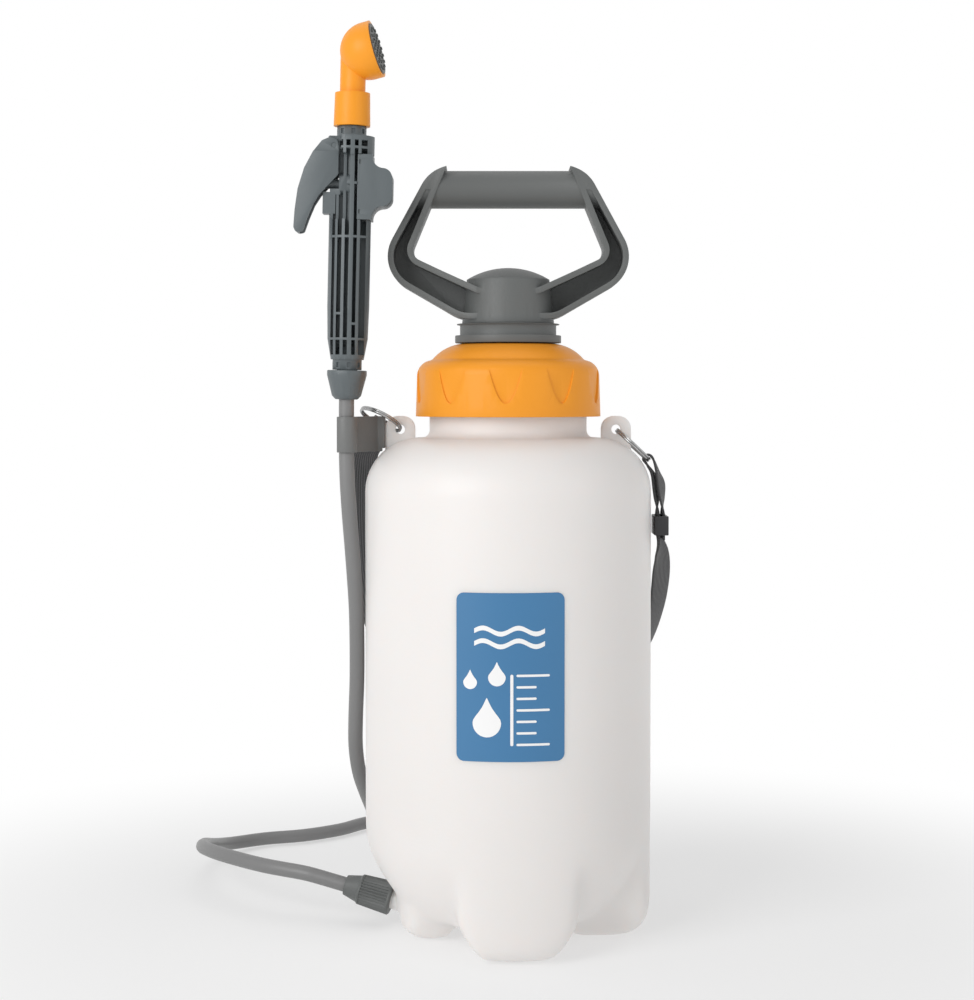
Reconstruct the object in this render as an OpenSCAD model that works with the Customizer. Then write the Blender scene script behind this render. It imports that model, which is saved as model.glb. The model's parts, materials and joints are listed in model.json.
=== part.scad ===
// Camp shower pump: a pressure bottle with a screw cap, a hand pump in its neck,
// a hose from the base and a trigger handset clipped beside the neck.
// Millimetres, +Z up. The origin is on the floor, on the bottle's axis.
// The front, with the printed panel, faces -Y, and the handset stands at -X.

/* [Bottle] */
// Outer radius of the bottle's straight wall
bottle_r = 90; // [84:1:100]
// Wall thickness of the bottle
bottle_wall = 2.5; // [2:0.1:3.5]
// Height of the top of the straight wall
wall_top = 279; // [240:1:320]
// Radius of the shoulder
shoulder_r = 34; // [26:1:38]
// Outer radius of the neck
neck_r = 49.5; // [46:0.5:51]
// Wall thickness of the neck
neck_wall = 3.5; // [3:0.1:4.5]
// Height of the neck above the shoulder
neck_h = 39; // [36:1:44]
// Fillet between the shoulder and the neck
neck_fillet = 5; // [3:0.5:6]

/* [Feet] */
// Height of the middle of the base above the floor
base_rise = 14; // [12:0.5:18]
// How much larger than the wall's radius the ball-shaped dome between the feet is
dome_over = 4; // [2:0.5:8]
// Depth of the ball's lowest point below the floor, before the base cuts it
dome_sink = 6; // [4:0.5:8]
// Number of feet
foot_count = 4; // [4:1:4]
// Half width of a foot's pad on the floor
foot_pad = 22; // [18:0.5:25]
// Half width of a foot where it runs into the dome
foot_half = 37; // [35:0.5:40]
// Height of that widest place
foot_spread = 25; // [22:0.5:28]
// Length of a foot, from the wall inwards
foot_len = 48; // [44:0.5:50]
// Radius of a foot's outer corner
foot_corner = 19; // [14:1:24]
// Angle of the front foot about the axis
foot_turn = -86; // [-88:0.5:-82]
// Outer radius of the short foot behind the outlet
outlet_foot_r = 70; // [68:0.5:71]
// Radius of that foot's outer corner
outlet_foot_corner = 13; // [10:0.5:14]

/* [Lugs] */
// Distance from the neck's wall to a lug hole
lug_out = 18.5; // [17:0.5:21]
// Height of a lug hole above the shoulder's top
lug_rise = 5.3; // [4:0.1:7]
// Half width of a lug
lug_half = 9.4; // [8.5:0.1:9.6]
// Thickness of a lug
lug_t = 6; // [5:0.2:7]
// Radius of a lug hole
lug_hole_r = 3; // [2.8:0.1:3.4]

/* [Outlet] */
// Distance of the nut's bottle end from the axis
outlet_nut_at = 75; // [74:0.5:77]
// Height of the nut's bottle end at its axis
outlet_nut_z = 17; // [16:0.2:18]
// Angle of the outlet from the short foot's middle, towards the back
outlet_aside = 13.5; // [10:0.5:16]
// Upward tilt of the outlet
outlet_tilt = 14; // [12:0.5:16]
// Radius of the outlet spigot
outlet_spigot_r = 6.5; // [6:0.1:6.8]
// Radius of the outlet nut at its bottle end
outlet_nut_r = 10.8; // [10.4:0.1:11.2]
// Radius of the outlet nut at the front of its knurls
outlet_front_r = 9.6; // [9.2:0.1:10]
// Length of the nut's knurled part
outlet_knurl_len = 22.5; // [21:0.5:24]
// Length of the nut's tapered nose
outlet_nose_len = 9; // [8:0.5:10]
// Number of knurls
knurl_count = 30; // [24:1:36]

/* [Thread] */
// Pitch of the neck's thread
thread_pitch = 8; // [7:0.5:9]
// Height of the thread's ridge above the neck
thread_depth = 2.4; // [2:0.1:2.6]
// Width of the ridge at its root
thread_root = 3.4; // [3:0.1:3.6]
// Turns of thread on the neck
thread_turns = 1.5; // [1.25:0.25:1.75]

/* [Cap] */
// Radius of the cap's rim
cap_rim_r = 58.2; // [57.6:0.1:60]
// Radius of the cap's side at its top
cap_side_r = 57.4; // [57:0.1:58]
// Height of the neck that shows below the cap
cap_gap = 13.5; // [12:0.5:15]
// Radius of the cap's upper corner
cap_corner = 10; // [8:0.5:12]
// Height of the dome above the cap's corner
cap_rise = 10.44; // [10:0.02:11]
// Radius of the dome's curve, seen from the side
cap_dome_r = 27.5; // [26.5:0.1:29]
// Radius of the hollow between the dome and the corner
cap_hollow_r = 4; // [3:0.1:5]
// Wall of the cap
cap_wall = 3; // [2.6:0.1:3.4]
// Number of finger recesses
recess_count = 10; // [8:1:12]
// Half width of a finger recess near its top
recess_half = 10.3; // [9:0.1:11]
// Depth of a finger recess
recess_depth = 0.9; // [0.6:0.1:1.2]

/* [Pump] */
// Outer radius of the pump barrel
barrel_r = 23.5; // [22:0.1:24]
// Wall of the pump barrel
barrel_wall = 2.5; // [2:0.1:3]
// Length of the barrel below its flange
barrel_len = 203; // [190:1:215]
// Thickness of the barrel's flange
flange_t = 3; // [2.6:0.1:3.4]
// Thickness of the neck gasket
gasket_t = 1.5; // [1.2:0.1:2]
// Height of the collar above the cap
collar_h = 12; // [11:0.5:14]
// Radius of the collar
collar_r = 30.3; // [29:0.1:31]
// Radius of the collar's foot
collar_foot_r = 33.4; // [32:0.1:34]
// Height of the collar's foot
collar_foot_h = 4.7; // [4:0.1:5.5]
// Thickness of the collar's top plate
collar_top = 2.8; // [2.4:0.1:3.2]
// Radius of the pump rod
rod_r = 9; // [8:0.1:10]
// Wall of the pump rod
rod_wall = 2.2; // [1.8:0.1:2.6]
// Height of the piston
piston_h = 14; // [13:0.5:16]
// Depth of the rod's seat in the piston
rod_seat = 8; // [7:0.5:9]
// Thickness of the valve plate at the barrel's foot
valve_plate_t = 7; // [6:0.5:8]
// Radius of the non-return disc
valve_disc_r = 9; // [8.5:0.1:10]
// Lift of the non-return disc
valve_lift = 1.2; // [1:0.1:1.4]

/* [Handle] */
// Half width of the handle at its widest corner, before rounding
handle_half = 83; // [80:0.5:86]
// Height of that corner above the collar
handle_corner_z = 33; // [31:0.2:35]
// Height of the handle above the collar
handle_h = 98; // [94:0.5:102]
// Half depth of the handle's arms
arm_half = 12.5; // [12:0.5:14]
// Half depth of the arms where they meet the hub
arm_root_half = 21; // [19:0.5:22]
// Thickness of an arm's flanges
arm_flange = 3.6; // [3:0.1:4]
// Thickness of the web at the back of the arms
arm_web = 3; // [2.4:0.1:4]
// Radius of the grip bar
grip_r = 11.8; // [11:0.1:12.2]
// Height of the arms' ends above the grip bar
ear_rise = 2.2; // [1.5:0.1:3]
// Half width of the handle at its top, before rounding
grip_half = 47.5; // [46:0.5:50]
// Half width of the arms where they leave the hub
arm_foot = 30; // [29:0.5:31]
// Width of an arm at its corner
arm_corner = 21.5; // [20:0.1:23]
// Radius of the hub's foot
hub_foot_r = 29; // [28:0.1:30]
// Radius of the hub's top
hub_top_r = 26; // [25:0.1:27]
// Height of the hub's side
hub_h = 27.5; // [26:0.5:29]
// Height of the dome on the hub
hub_dome = 7.4; // [6.5:0.1:8]

/* [Handset] */
// Distance of the hose clip's axis beyond the lug hole
clip_out = 32.1; // [31:0.1:34]
// Distance of the hose clip's axis in front of the lugs
clip_fore = 27; // [26.5:0.5:29]
// Size of the handset against the sizes below
handset_size = 0.98; // [0.96:0.01:1.02]
// Height of the handset's foot above the cap's rim
handset_rise = 10.7; // [9:0.1:13]
// Lean of the handset towards the bottle
handset_lean = 1.28; // [0:0.02:2]
// Length of the handset's hose nut
hnut_len = 18.3; // [17:0.1:19]
// Radius of the hose nut's rim
hnut_r = 12.5; // [12:0.1:13]
// Radius of the hose nut's nose
hnut_nose_r = 9.2; // [8.8:0.1:9.6]
// Height of the handset's body above its foot
body_h = 164.6; // [162.6:0.2:166.6]
// Radius of the handset's grip
grip_body_r = 13.2; // [12.8:0.1:13.8]
// Radius of the handset's water tube
tube_r = 6.5; // [6.2:0.1:6.8]
// Radius of that tube between the grip's ribs
core_r = 4.4; // [4.2:0.1:4.8]
// Radius of the water way
water_r = 2.6; // [2.2:0.1:3]
// Thickness of the handset's central web
grip_web = 2.4; // [2:0.1:3]
// Thickness of its cross ribs
rib_t = 1.4; // [1.2:0.1:1.8]
// Half depth of the spine that the trigger straddles
spine_half = 5.8; // [5.6:0.1:6]

/* [Trigger] */
// Distance of the trigger's pin from the handset's axis
pin_out = 10.5; // [10.2:0.1:10.8]
// Distance of the trigger's pin below the body's top
pin_drop = 6.1; // [5.8:0.1:6.5]
// Radius of the trigger's pin
pin_r = 1.6; // [1.4:0.1:1.8]
// Thickness of the trigger's cheeks
cheek_t = 2.2; // [2:0.1:2.6]
// Depth of the step in the cheeks below the pin
cheek_step = 0.5; // [0.4:0.1:0.7]
// Distance of the valve stem's axis below the body's top
stem_drop = 29.6; // [28.8:0.1:30.2]
// Radius of the valve stem
stem_r = 3; // [2.8:0.1:3.2]

/* [Shower head] */
// Height of the head's collar
head_collar_h = 20.8; // [20:0.1:22]
// Radius of the head's collar
head_collar_r = 11.5; // [11:0.1:12]
// Radius of the head's neck
head_neck_r = 8; // [7.8:0.1:8.2]
// Radius of the head's bell
bell_r = 18; // [17.5:0.1:18.4]
// Distance of the bell's centre from the head's axis
bell_x = 9.8; // [9:0.1:10.4]
// Height of the bell's centre above the spout
bell_rise = 47.5; // [46:0.1:49]
// Distance of the spray face from the bell's centre
face_out = 5.1; // [4.6:0.1:6]
// Wall of the head
head_wall = 2; // [1.8:0.1:2.4]
// Upward tilt of the spray face
face_tilt = 15.2; // [12:0.2:18]
// Radius of the spray plate
plate_r = 16; // [15.5:0.1:16.3]
// Turn of the head towards the front as it is left
head_turn = 8; // [0:1:20]
// Thickness of the spray plate
plate_t = 3; // [2.6:0.1:3.4]

/* [Hose] */
// Outer radius of the hose
hose_r = 4.75; // [4.5:0.05:4.9]
// Height of the hose's axis where it lies
hose_lie = 6; // [5.8:0.1:6.5]
// Outer radius of the coil's turns, at the hose's axis
coil_r = 61; // [58:0.5:63]
// Radius lost in each turn of the coil
coil_step = 12.5; // [12:0.1:13]
// Height from one layer of the coil to the next
coil_layer = 10.2; // [10:0.1:10.6]

/* [Clip and rings] */
// Height of the hose clip
clip_h = 22; // [20:0.5:23]
// Wall of the hose clip
clip_wall = 2; // [1.8:0.1:2.2]
// Mean radius of a strap ring
ring_r = 13.7; // [13.2:0.1:14]
// Radius of the ring's wire
ring_wire = 0.8; // [0.7:0.05:0.9]

/* [Strap] */
// Half width of the webbing
strap_half = 10; // [9.5:0.25:10.5]
// Thickness of the webbing
strap_t = 1.4; // [1.2:0.1:1.6]

/* [Clearances] */
// Radial gap of a turning or sliding round fit
running = 0.06; // [0.02:0.01:0.1]
// Gap of a fixed seat
seat = 0.1; // [0.05:0.05:0.2]
// Gap between parts that move past each other
moving = 0.3; // [0.25:0.05:0.4]

/* [Hidden] */
$fn = 64;

// Bottle heights and radii
shoulder_top = wall_top + shoulder_r;
neck_top = shoulder_top + neck_h;
neck_bore = neck_r - neck_wall;
foot_step = 0.02;
dome_r = bottle_r + dome_over;
dome_z = dome_r - dome_sink;
foot_top = dome_z - 12;
foot_pitch = 360 / foot_count;
foot_inner = bottle_r - foot_len;
lug_x = neck_r + lug_out;
lug_z = shoulder_top + lug_rise;
lug_top = lug_z + 8.4;
lug_corner = 8;
lug_root = wall_top + shoulder_r * 0.6;

// Outlet, on the short foot at the left
outlet_turn = foot_turn - foot_pitch - outlet_aside;
outlet_bore = 3;
outlet_spigot_len = 9;
washer_t = 1.2;
tail_flange_t = 2;
tail_len = 5;
outlet_hose_from = outlet_spigot_len + washer_t + tail_flange_t + tail_len;

// Cap, stacked on the neck, the gasket and the barrel's flange
cap_z = shoulder_top + cap_gap;
gasket_z = neck_top + moving;
flange_z = gasket_z + gasket_t;
flange_top = flange_z + flange_t;
flange_r = neck_r - 0.2;
ledge_z = flange_top + moving;
cap_bore = neck_r + thread_depth + 0.7;
cap_corner_z = ledge_z - 5.3;
cap_flat_r = barrel_r + 3;
cap_top = cap_corner_z + cap_corner + cap_rise;
corner_mid = [cap_side_r - cap_corner, cap_corner_z];
dome_mid = [cap_flat_r, cap_top - cap_dome_r];
hollow_mid = touching(dome_mid, cap_dome_r + cap_hollow_r, corner_mid, cap_corner + cap_hollow_r);
thread_z = cap_z + 6.5;
recess_z = cap_z + 8.2;
recess_len = 21.4;

// Pump, hung from the flange
barrel_bore = barrel_r - barrel_wall;
barrel_foot = flange_z - barrel_len;
collar_z = cap_top + moving;
collar_top_z = collar_z + collar_h;
barrel_top = collar_top_z - collar_top - seat;
plate_top = barrel_foot + valve_plate_t;
stem_head_t = 1.2;
piston_z = plate_top + valve_lift + stem_head_t + 2.4;
rod_foot = piston_z + piston_h - rod_seat + moving;

// Handle
handle_z = collar_top_z + moving;
grip_h = handle_h - ear_rise - grip_r;
rod_top = handle_z + hub_h - 5.5;
handle_round = 22.5;
handle_inner_round = 7;

// Handset
clip_x = -(lug_x + clip_out);
handset_z = cap_z + handset_rise;
hose_end = 8;
neck_from = hnut_len + moving;
grip_from = hnut_len + 6.7;
grip_full = grip_from + 13;
upper_from = body_h - 52.1;
block_from = body_h - 11.1;
pin_z = body_h - pin_drop;
stem_z = body_h - stem_drop;
spout_top = body_h + 6.3;
spigot_top = spout_top + 16.4;
spigot_r = 7.2;

// Shower head, in the handset's frame
bell_z = spout_top + bell_rise;
plate_ledge = 0.9;

// Hose routes, chosen along the photographed runs
route_lower = [
  [-114.1, 19.1, 27.2], [-122, 20.5, 29.15], [-133, 23, 31.3], [-160, 36, 33], [-190, 66, 33],
  [-207, 100, 30], [-212, 140, 23], [-211, 175, 15], [-203, 210, 8], [-180, 235, 6],
  [-152, 246, 6], [-126, 266, 6], [-108, 290, 6], [-80, 310, 6], [-49, 319, 6],
  [-15, 318, 6], [18, 306, 6], [44, 280, 6], [56, 248, 6], [55, 215, 6], [42, 190, 6]
];
route_upper = [
  [-44, 162.5, 17.2], [-66, 154, 22], [-82, 134, 31], [-88, 104, 45], [-90, 74, 62],
  [-94, 52, 80], [-97, 38, 95], [-98.3, 27, 113], [-97.6, 17, 133], [-96.2, 8, 158],
  [-95.6, 0, 183], [-95.5, -8, 206], [-96.2, -15, 226], [-97.3, -20, 246], [-98.6, -24, 266],
  [-99.6, -26.4, 285], [-100.1, -27, 303]
];
coil_at = [-15, 225];
coil_from = -60;
coil_sweep = 750;
coil_climb = 180;
coil_rings = 50;
tie_turn = 90;
tie_t = 1.1;
tie_w = 12;
// Strap route: point, direction of the webbing's width, half width
strap_route = [
  [[-83.6, 8.4, 310], [-0.89, 0, 0.45], 5.6],
  [[-82.4, 8.3, 315], [-0.89, 0, 0.45], 5.3],
  [[-81.4, 8.6, 319.6], [-0.89, 0, 0.45], 5],
  [[-80.6, 11.2, 323.9], [-0.89, 0, 0.45], 5],
  [[-80.6, 14.4, 324.1], [-0.89, 0, 0.45], 5],
  [[-81.2, 16.4, 320], [-0.89, 0, 0.45], 5.2],
  [[-83.6, 18.6, 312], [-0.92, 0.05, 0.38], 6],
  [[-91, 25.5, 303], [-0.97, 0.1, 0.2], 8],
  [[-93.2, 34.5, 290], [-1, 0.05, 0.08], 9.5],
  [[-93.8, 39, 276], [-1, 0.1, 0], 10],
  [[-93.8, 41, 256], [-1, 0.15, 0], 10],
  [[-92.5, 44, 230], [-0.98, 0.2, 0], 10],
  [[-89, 50, 204], [-0.93, 0.35, 0.1], 10],
  [[-83.5, 59.5, 178], [-0.8, 0.55, 0.25], 10],
  [[-74, 70, 152], [-0.6, 0.58, 0.55], 10],
  [[-60, 81.5, 126], [-0.42, 0.4, 0.8], 10],
  [[-38, 93, 106], [-0.2, 0.15, 0.97], 10],
  [[-12, 98.5, 96], [0, 0, 1], 10],
  [[14, 98.5, 96], [0, 0, 1], 10],
  [[40, 93, 106], [0.2, 0.15, 0.97], 10],
  [[62, 80, 126], [0.42, 0.4, 0.8], 10],
  [[79, 64, 150], [0.45, 0.65, 0.55], 10],
  [[91.5, 46, 176], [0.4, 0.85, 0.3], 10],
  [[96.5, 31, 200], [0.5, 0.85, 0.1], 10],
  [[98, 20, 219], [0.55, 0.83, 0], 10],
  [[97.6, 10.5, 234], [0.5, 0.86, 0], 10],
  [[95.6, 3.5, 244], [0.3, 0.95, 0], 10],
  [[94.5, 0.3, 250.5], [0, 1, 0], 9.8],
  [[94.4, 0, 258], [0, 1, 0], 9.5],
  [[94.3, 0, 266], [0, 1, 0], 9],
  [[93.9, 0.4, 275], [0.25, 0.97, 0], 7.6],
  [[93.5, 0.5, 284], [0.4, 0.92, 0], 6.8],
  [[90.9, 0.2, 291], [0.25, 0.97, -0.1], 6],
  [[88.3, 0, 295], [0.1, 1, 0], 5.4],
  [[86.9, 0, 297.2], [0, 1, 0], 5],
  [[85.6, 0, 299], [0, 1, 0], 5],
  [[86.2, 0, 301.4], [0, 1, 0], 5],
  [[88.9, 0, 302.2], [0, 1, 0], 5],
  [[90.7, 0, 300.8], [0, 1, 0], 5],
  [[92.4, 0, 297.6], [0.1, 1, 0], 5.4],
  [[94.3, -0.4, 291.5], [0.25, 0.97, -0.1], 6],
  [[96.4, -0.7, 284], [0.4, 0.92, 0], 6.8],
  [[97.2, -0.4, 275], [0.25, 0.97, 0], 7.6],
  [[97.6, 0, 266], [0, 1, 0], 9],
  [[97.6, 0, 258], [0, 1, 0], 9.5],
  [[97.8, 0.3, 249], [0, 1, 0], 9.8]
];
slider_at = [96, 0, 258];

// Colours
white = [0.93, 0.92, 0.89];
orange = [0.97, 0.6, 0.16];
grey = [0.42, 0.43, 0.43];
slate = [0.3, 0.33, 0.37];
hose_grey = [0.5, 0.51, 0.52];
dark = [0.16, 0.16, 0.17];
steel = [0.75, 0.76, 0.78];

// Vectors and smooth curves through points
function unit(v) = v / norm(v);
function spline(a, b, c, d, t) =
  0.5 * (2 * b + (c - a) * t + (2 * a - 5 * b + 4 * c - d) * t * t + (3 * b - a - 3 * c + d) * t * t * t);
function at(list, i) = list[max(0, min(len(list) - 1, i))];
function smooth_run(p, n) = [
  for (i = [0:len(p) - 2], k = [0:n - 1])
    spline(at(p, i - 1), p[i], p[i + 1], at(p, i + 2), k / n),
  p[len(p) - 1]
];
function tangent(p, i) = unit(at(p, i + 1) - at(p, i - 1));
// Side vectors carried along a run, so that its rings don't twist
function carried(p, i, side) = unit(side - tangent(p, i) * (side * tangent(p, i)));
function sides(p, i, side) =
  i == len(p) ? [] : let (s = carried(p, i, side)) concat([s], sides(p, i + 1, s));
function ring_points(c, t, s, r, n) = [
  for (k = [0:n - 1])
    c + r * (cos(360 * k / n) * s + sin(360 * k / n) * cross(t, s))
];
function tube_faces(rings, n) = concat(
  [[for (k = [0:n - 1]) k]],
  [
    for (i = [0:rings - 2], k = [0:n - 1])
      each let (a = i * n + k, b = i * n + (k + 1) % n) [[a, a + n, b], [b, a + n, b + n]]
  ],
  [[for (k = [n - 1:-1:0]) (rings - 1) * n + k]]
);

// A round tube along points, with end tangents that may be given
module tube(p, r, n, first = undef, last = undef) {
  s0 = abs(tangent(p, 0).z) > 0.9 ? [1, 0, 0] : [0, 0, 1];
  s = sides(p, 0, s0);
  end = len(p) - 1;
  t = [
    for (i = [0:end])
      i == 0 && !is_undef(first) ? first : i == end && !is_undef(last) ? last : tangent(p, i)
  ];
  points = [for (i = [0:end]) each ring_points(p[i], t[i], unit(s[i] - t[i] * (s[i] * t[i])), r, n)];
  polyhedron(points, tube_faces(len(p), n), convexity = 8);
}

// A flat band along stations of point, width direction and half width
module band(stations, t) {
  p = [for (s = stations) s[0]];
  points = [
    for (i = [0:len(p) - 1])
      let (
        g = tangent(p, i),
        w = unit(stations[i][1] - g * (stations[i][1] * g)),
        n = cross(g, w),
        a = w * stations[i][2],
        b = n * t / 2
      )
      each [p[i] + a + b, p[i] - a + b, p[i] - a - b, p[i] + a - b]
  ];
  polyhedron(points, tube_faces(len(p), 4), convexity = 8);
}

// A thread's ridge: a trapezoid wound up a cylinder, rooted at r0 with its tip at r1
module thread_ridge(r0, r1, z0, turns, tip) {
  steps = 32;
  count = round(turns * steps);
  points = [
    for (i = [0:count])
      let (a = 360 * i / steps, z = z0 + thread_pitch * i / steps)
      each [
        for (c = [[r0, -thread_root / 2], [r1, -tip / 2], [r1, tip / 2], [r0, thread_root / 2]])
          [c[0] * cos(a), c[0] * sin(a), z + c[1]]
      ]
  ];
  faces = tube_faces(count + 1, 4);
  polyhedron(points, r1 > r0 ? [for (f = faces) [for (k = [len(f) - 1:-1:0]) f[k]]] : faces, convexity = 8);
}

// A rectangle with two rounded upper corners
module tombstone(half, bottom, top, r) {
  translate([-half, bottom]) square([2 * half, top - r - bottom]);
  translate([-half + r, bottom]) square([2 * (half - r), top - bottom]);
  for (side = [-1, 1]) translate([side * (half - r), top - r]) circle(r);
}

// Stands a drawing up in the XZ plane and gives it a depth centred on Y
module upright(depth) {
  rotate([90, 0, 0]) linear_extrude(depth, center = true) children();
}

// The bottle's form, drawn in by an inset for the hollow inside
module bottle_section(inset) {
  r = bottle_r - inset;
  sr = shoulder_r - inset;
  dr = dome_r - inset;
  difference() {
    union() {
      intersection() {
        translate([0, base_rise + inset]) square([r, wall_top - base_rise - inset]);
        union() {
          translate([0, dome_z]) circle(dr, $fn = 200);
          translate([0, dome_z]) square([r, wall_top - dome_z]);
        }
      }
      translate([0, wall_top - 1]) square([r - sr, sr + 1]);
      translate([r - sr, wall_top]) circle(sr);
    }
    translate([-bottle_r, 0]) square([bottle_r, neck_top]);
  }
}

// One foot: a sector of the base ring, cut to a tapering outline
module foot_section(inset, outer, corner) {
  r = outer - inset - foot_step;
  fc = corner - inset;
  difference() {
    union() {
      translate([0, inset + fc]) square([r, foot_top - inset - fc]);
      translate([0, inset]) square([r - fc, fc + 1]);
      translate([r - fc, inset + fc]) circle(fc);
    }
    translate([-1, -1]) square([foot_inner + inset + 1, foot_top + 2]);
  }
}

module foot_outline(inset) {
  slope = atan2(foot_spread, foot_half - foot_pad);
  half = foot_half - inset;
  pad = foot_pad - inset * tan(slope / 2);
  low = inset - 0.8;
  high = low + (half - pad) * tan(slope);
  polygon([[-pad, low], [pad, low], [half, high], [half, 120], [-half, 120], [-half, high]]);
}

module foot(inset, turn, outer, corner) {
  rotate([0, 0, turn]) intersection() {
    rotate_extrude() foot_section(inset, outer, corner);
    rotate([90, 0, 90]) linear_extrude(bottle_r + 20) foot_outline(inset);
  }
}

module bottle_form(inset) {
  rotate_extrude() bottle_section(inset);
  for (i = [0:foot_count - 2]) foot(inset, foot_turn + foot_pitch * i, bottle_r, foot_corner);
  foot(inset, foot_turn - foot_pitch, outlet_foot_r, outlet_foot_corner);
}

module neck_section() {
  translate([0, wall_top]) square([neck_r, neck_top - wall_top]);
  difference() {
    translate([0, wall_top + shoulder_r / 2])
      square([neck_r + neck_fillet, shoulder_r / 2 + neck_fillet]);
    translate([neck_r + neck_fillet, shoulder_top + neck_fillet]) circle(neck_fillet);
  }
}

module lug() {
  upright(lug_t) translate([lug_x, 0]) tombstone(lug_half, lug_root, lug_top, lug_corner);
}

// The tongue on the left lug that the hose clip slides over
tongue_len = 7;
tongue_t = 4;
tongue_h = 14;
tongue_z = cap_z - clip_h / 2;
module clip_tongue() {
  translate([-(lug_x + lug_half + tongue_len), -tongue_t / 2, tongue_z - tongue_h / 2])
    cube([tongue_len + 3, tongue_t, tongue_h]);
}

// Frame of the outlet: +Z along the spigot, from the nut's bottle end
module at_outlet() {
  rotate([0, 0, outlet_turn]) translate([outlet_nut_at, 0, outlet_nut_z])
    rotate([0, 90 - outlet_tilt, 0]) children();
}

module bottle() {
  color(white) difference() {
    union() {
      bottle_form(0);
      rotate_extrude() neck_section();
      lug();
      mirror([1, 0, 0]) lug();
      clip_tongue();
      at_outlet() translate([0, 0, -10]) cylinder(r = outlet_spigot_r, h = 10 + outlet_spigot_len);
      thread_ridge(neck_r - 0.7, neck_r + thread_depth, thread_z, thread_turns, thread_root - 1.4);
    }
    bottle_form(bottle_wall);
    translate([0, 0, wall_top]) cylinder(r = neck_bore, h = neck_top);
    for (side = [-1, 1])
      translate([side * lug_x, 0, lug_z]) rotate([90, 0, 0])
        cylinder(r = lug_hole_r, h = 4 * lug_t, center = true);
    at_outlet() translate([0, 0, -12]) cylinder(r = outlet_bore, h = 40);
    at_outlet() difference() {
      cylinder(r = outlet_nut_r + 0.5, h = 60);
      translate([0, 0, -1]) cylinder(r = outlet_spigot_r, h = 70);
    }
  }
}

module outlet_washer() {
  color(dark) at_outlet() translate([0, 0, outlet_spigot_len]) difference() {
    cylinder(r = outlet_spigot_r, h = washer_t);
    translate([0, 0, -1]) cylinder(r = outlet_bore, h = washer_t + 2);
  }
}

module outlet_tail() {
  color(slate) at_outlet() translate([0, 0, outlet_spigot_len + washer_t]) difference() {
    union() {
      cylinder(r = outlet_spigot_r, h = tail_flange_t);
      cylinder(r = hose_r, h = tail_flange_t + tail_len);
    }
    translate([0, 0, -1]) cylinder(r = water_r, h = 20);
  }
}

knurl_lean = atan2(outlet_nut_r - outlet_front_r, outlet_knurl_len);
module outlet_nut() {
  nut_len = outlet_knurl_len + outlet_nose_len;
  stop_z = outlet_spigot_len + washer_t + tail_flange_t + seat;
  color(slate) at_outlet() translate([0, 0, seat]) difference() {
    rotate_extrude() polygon([
      [0, 0], [outlet_nut_r - 0.8, 0], [outlet_nut_r, 0.8], [outlet_front_r, outlet_knurl_len - 1],
      [outlet_front_r - 1, outlet_knurl_len], [hose_r + 1.6, nut_len], [0, nut_len]
    ]);
    translate([0, 0, -1]) cylinder(r = outlet_spigot_r + seat, h = stop_z + 1);
    cylinder(r = hose_r + seat, h = 2 * nut_len);
    for (i = [0:knurl_count - 1])
      rotate([0, 0, 360 * i / knurl_count])
        translate([outlet_nut_r, 0, 2]) rotate([0, -knurl_lean, 0]) rotate([0, 0, 45])
          translate([-0.8, -0.8, 0]) cube([1.6, 1.6, outlet_knurl_len - 4]);
  }
}

// Hose: straight out of the outlet's nut, along the floor, into the coil and up to the handset
function outlet_axis() =
  [cos(outlet_turn) * cos(outlet_tilt), sin(outlet_turn) * cos(outlet_tilt), sin(outlet_tilt)];
function outlet_point(s) =
  [outlet_nut_at * cos(outlet_turn), outlet_nut_at * sin(outlet_turn), outlet_nut_z] + s * outlet_axis();
function coil_angle(i) = coil_from - coil_sweep * i / coil_rings;
function coil_done(i) = coil_sweep * i / coil_rings;
coil_half = (coil_sweep - coil_climb) / 2;
function coil_drop(a) = coil_step / 360 * min(a, coil_half, coil_sweep - a);
function coil_rise(a) =
  let (u = max(0, min(1, (a - coil_half) / coil_climb)))
  coil_layer * (3 * u * u - 2 * u * u * u);
function coil_point(i) =
  let (a = coil_done(i), r = coil_r - coil_drop(a), q = coil_angle(i))
  [coil_at.x + r * cos(q), coil_at.y + r * sin(q), hose_lie + coil_rise(a)];
function coil_heading(i) = unit([sin(coil_angle(i)), -cos(coil_angle(i)), 0]);
coil_points = [for (i = [0:coil_rings]) coil_point(i)];
// Least gap of the coil to itself, between rings over a third of a turn apart
coil_gap = min([
  for (i = [0:coil_rings], j = [0:coil_rings])
    if (j - i > coil_rings * 120 / coil_sweep) norm(coil_points[i] - coil_points[j])
]) - 2 * hose_r;
echo(coil_gap = coil_gap);

function lean(v) =
  [v.x * cos(handset_lean) + v.z * sin(handset_lean), v.y, v.z * cos(handset_lean) - v.x * sin(handset_lean)];
function handset_point(v) = [clip_x, -clip_fore, handset_z] + handset_size * lean(v);

module hose_lower() {
  p = concat([outlet_point(outlet_hose_from + seat)], smooth_run(route_lower, 2), [coil_point(0)]);
  color(hose_grey) tube(p, hose_r, 8, outlet_axis(), coil_heading(0));
}

module hose_coil() {
  color(hose_grey) tube(coil_points, hose_r, 6, coil_heading(0), coil_heading(coil_rings));
}

module hose_upper() {
  p = concat(
    [coil_point(coil_rings)],
    smooth_run(route_upper, 2),
    [[clip_x, -clip_fore, cap_z], handset_point([0, 0, hose_end])]
  );
  color(hose_grey) tube(p, hose_r, 8, coil_heading(coil_rings), lean([0, 0, 1]));
}

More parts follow.
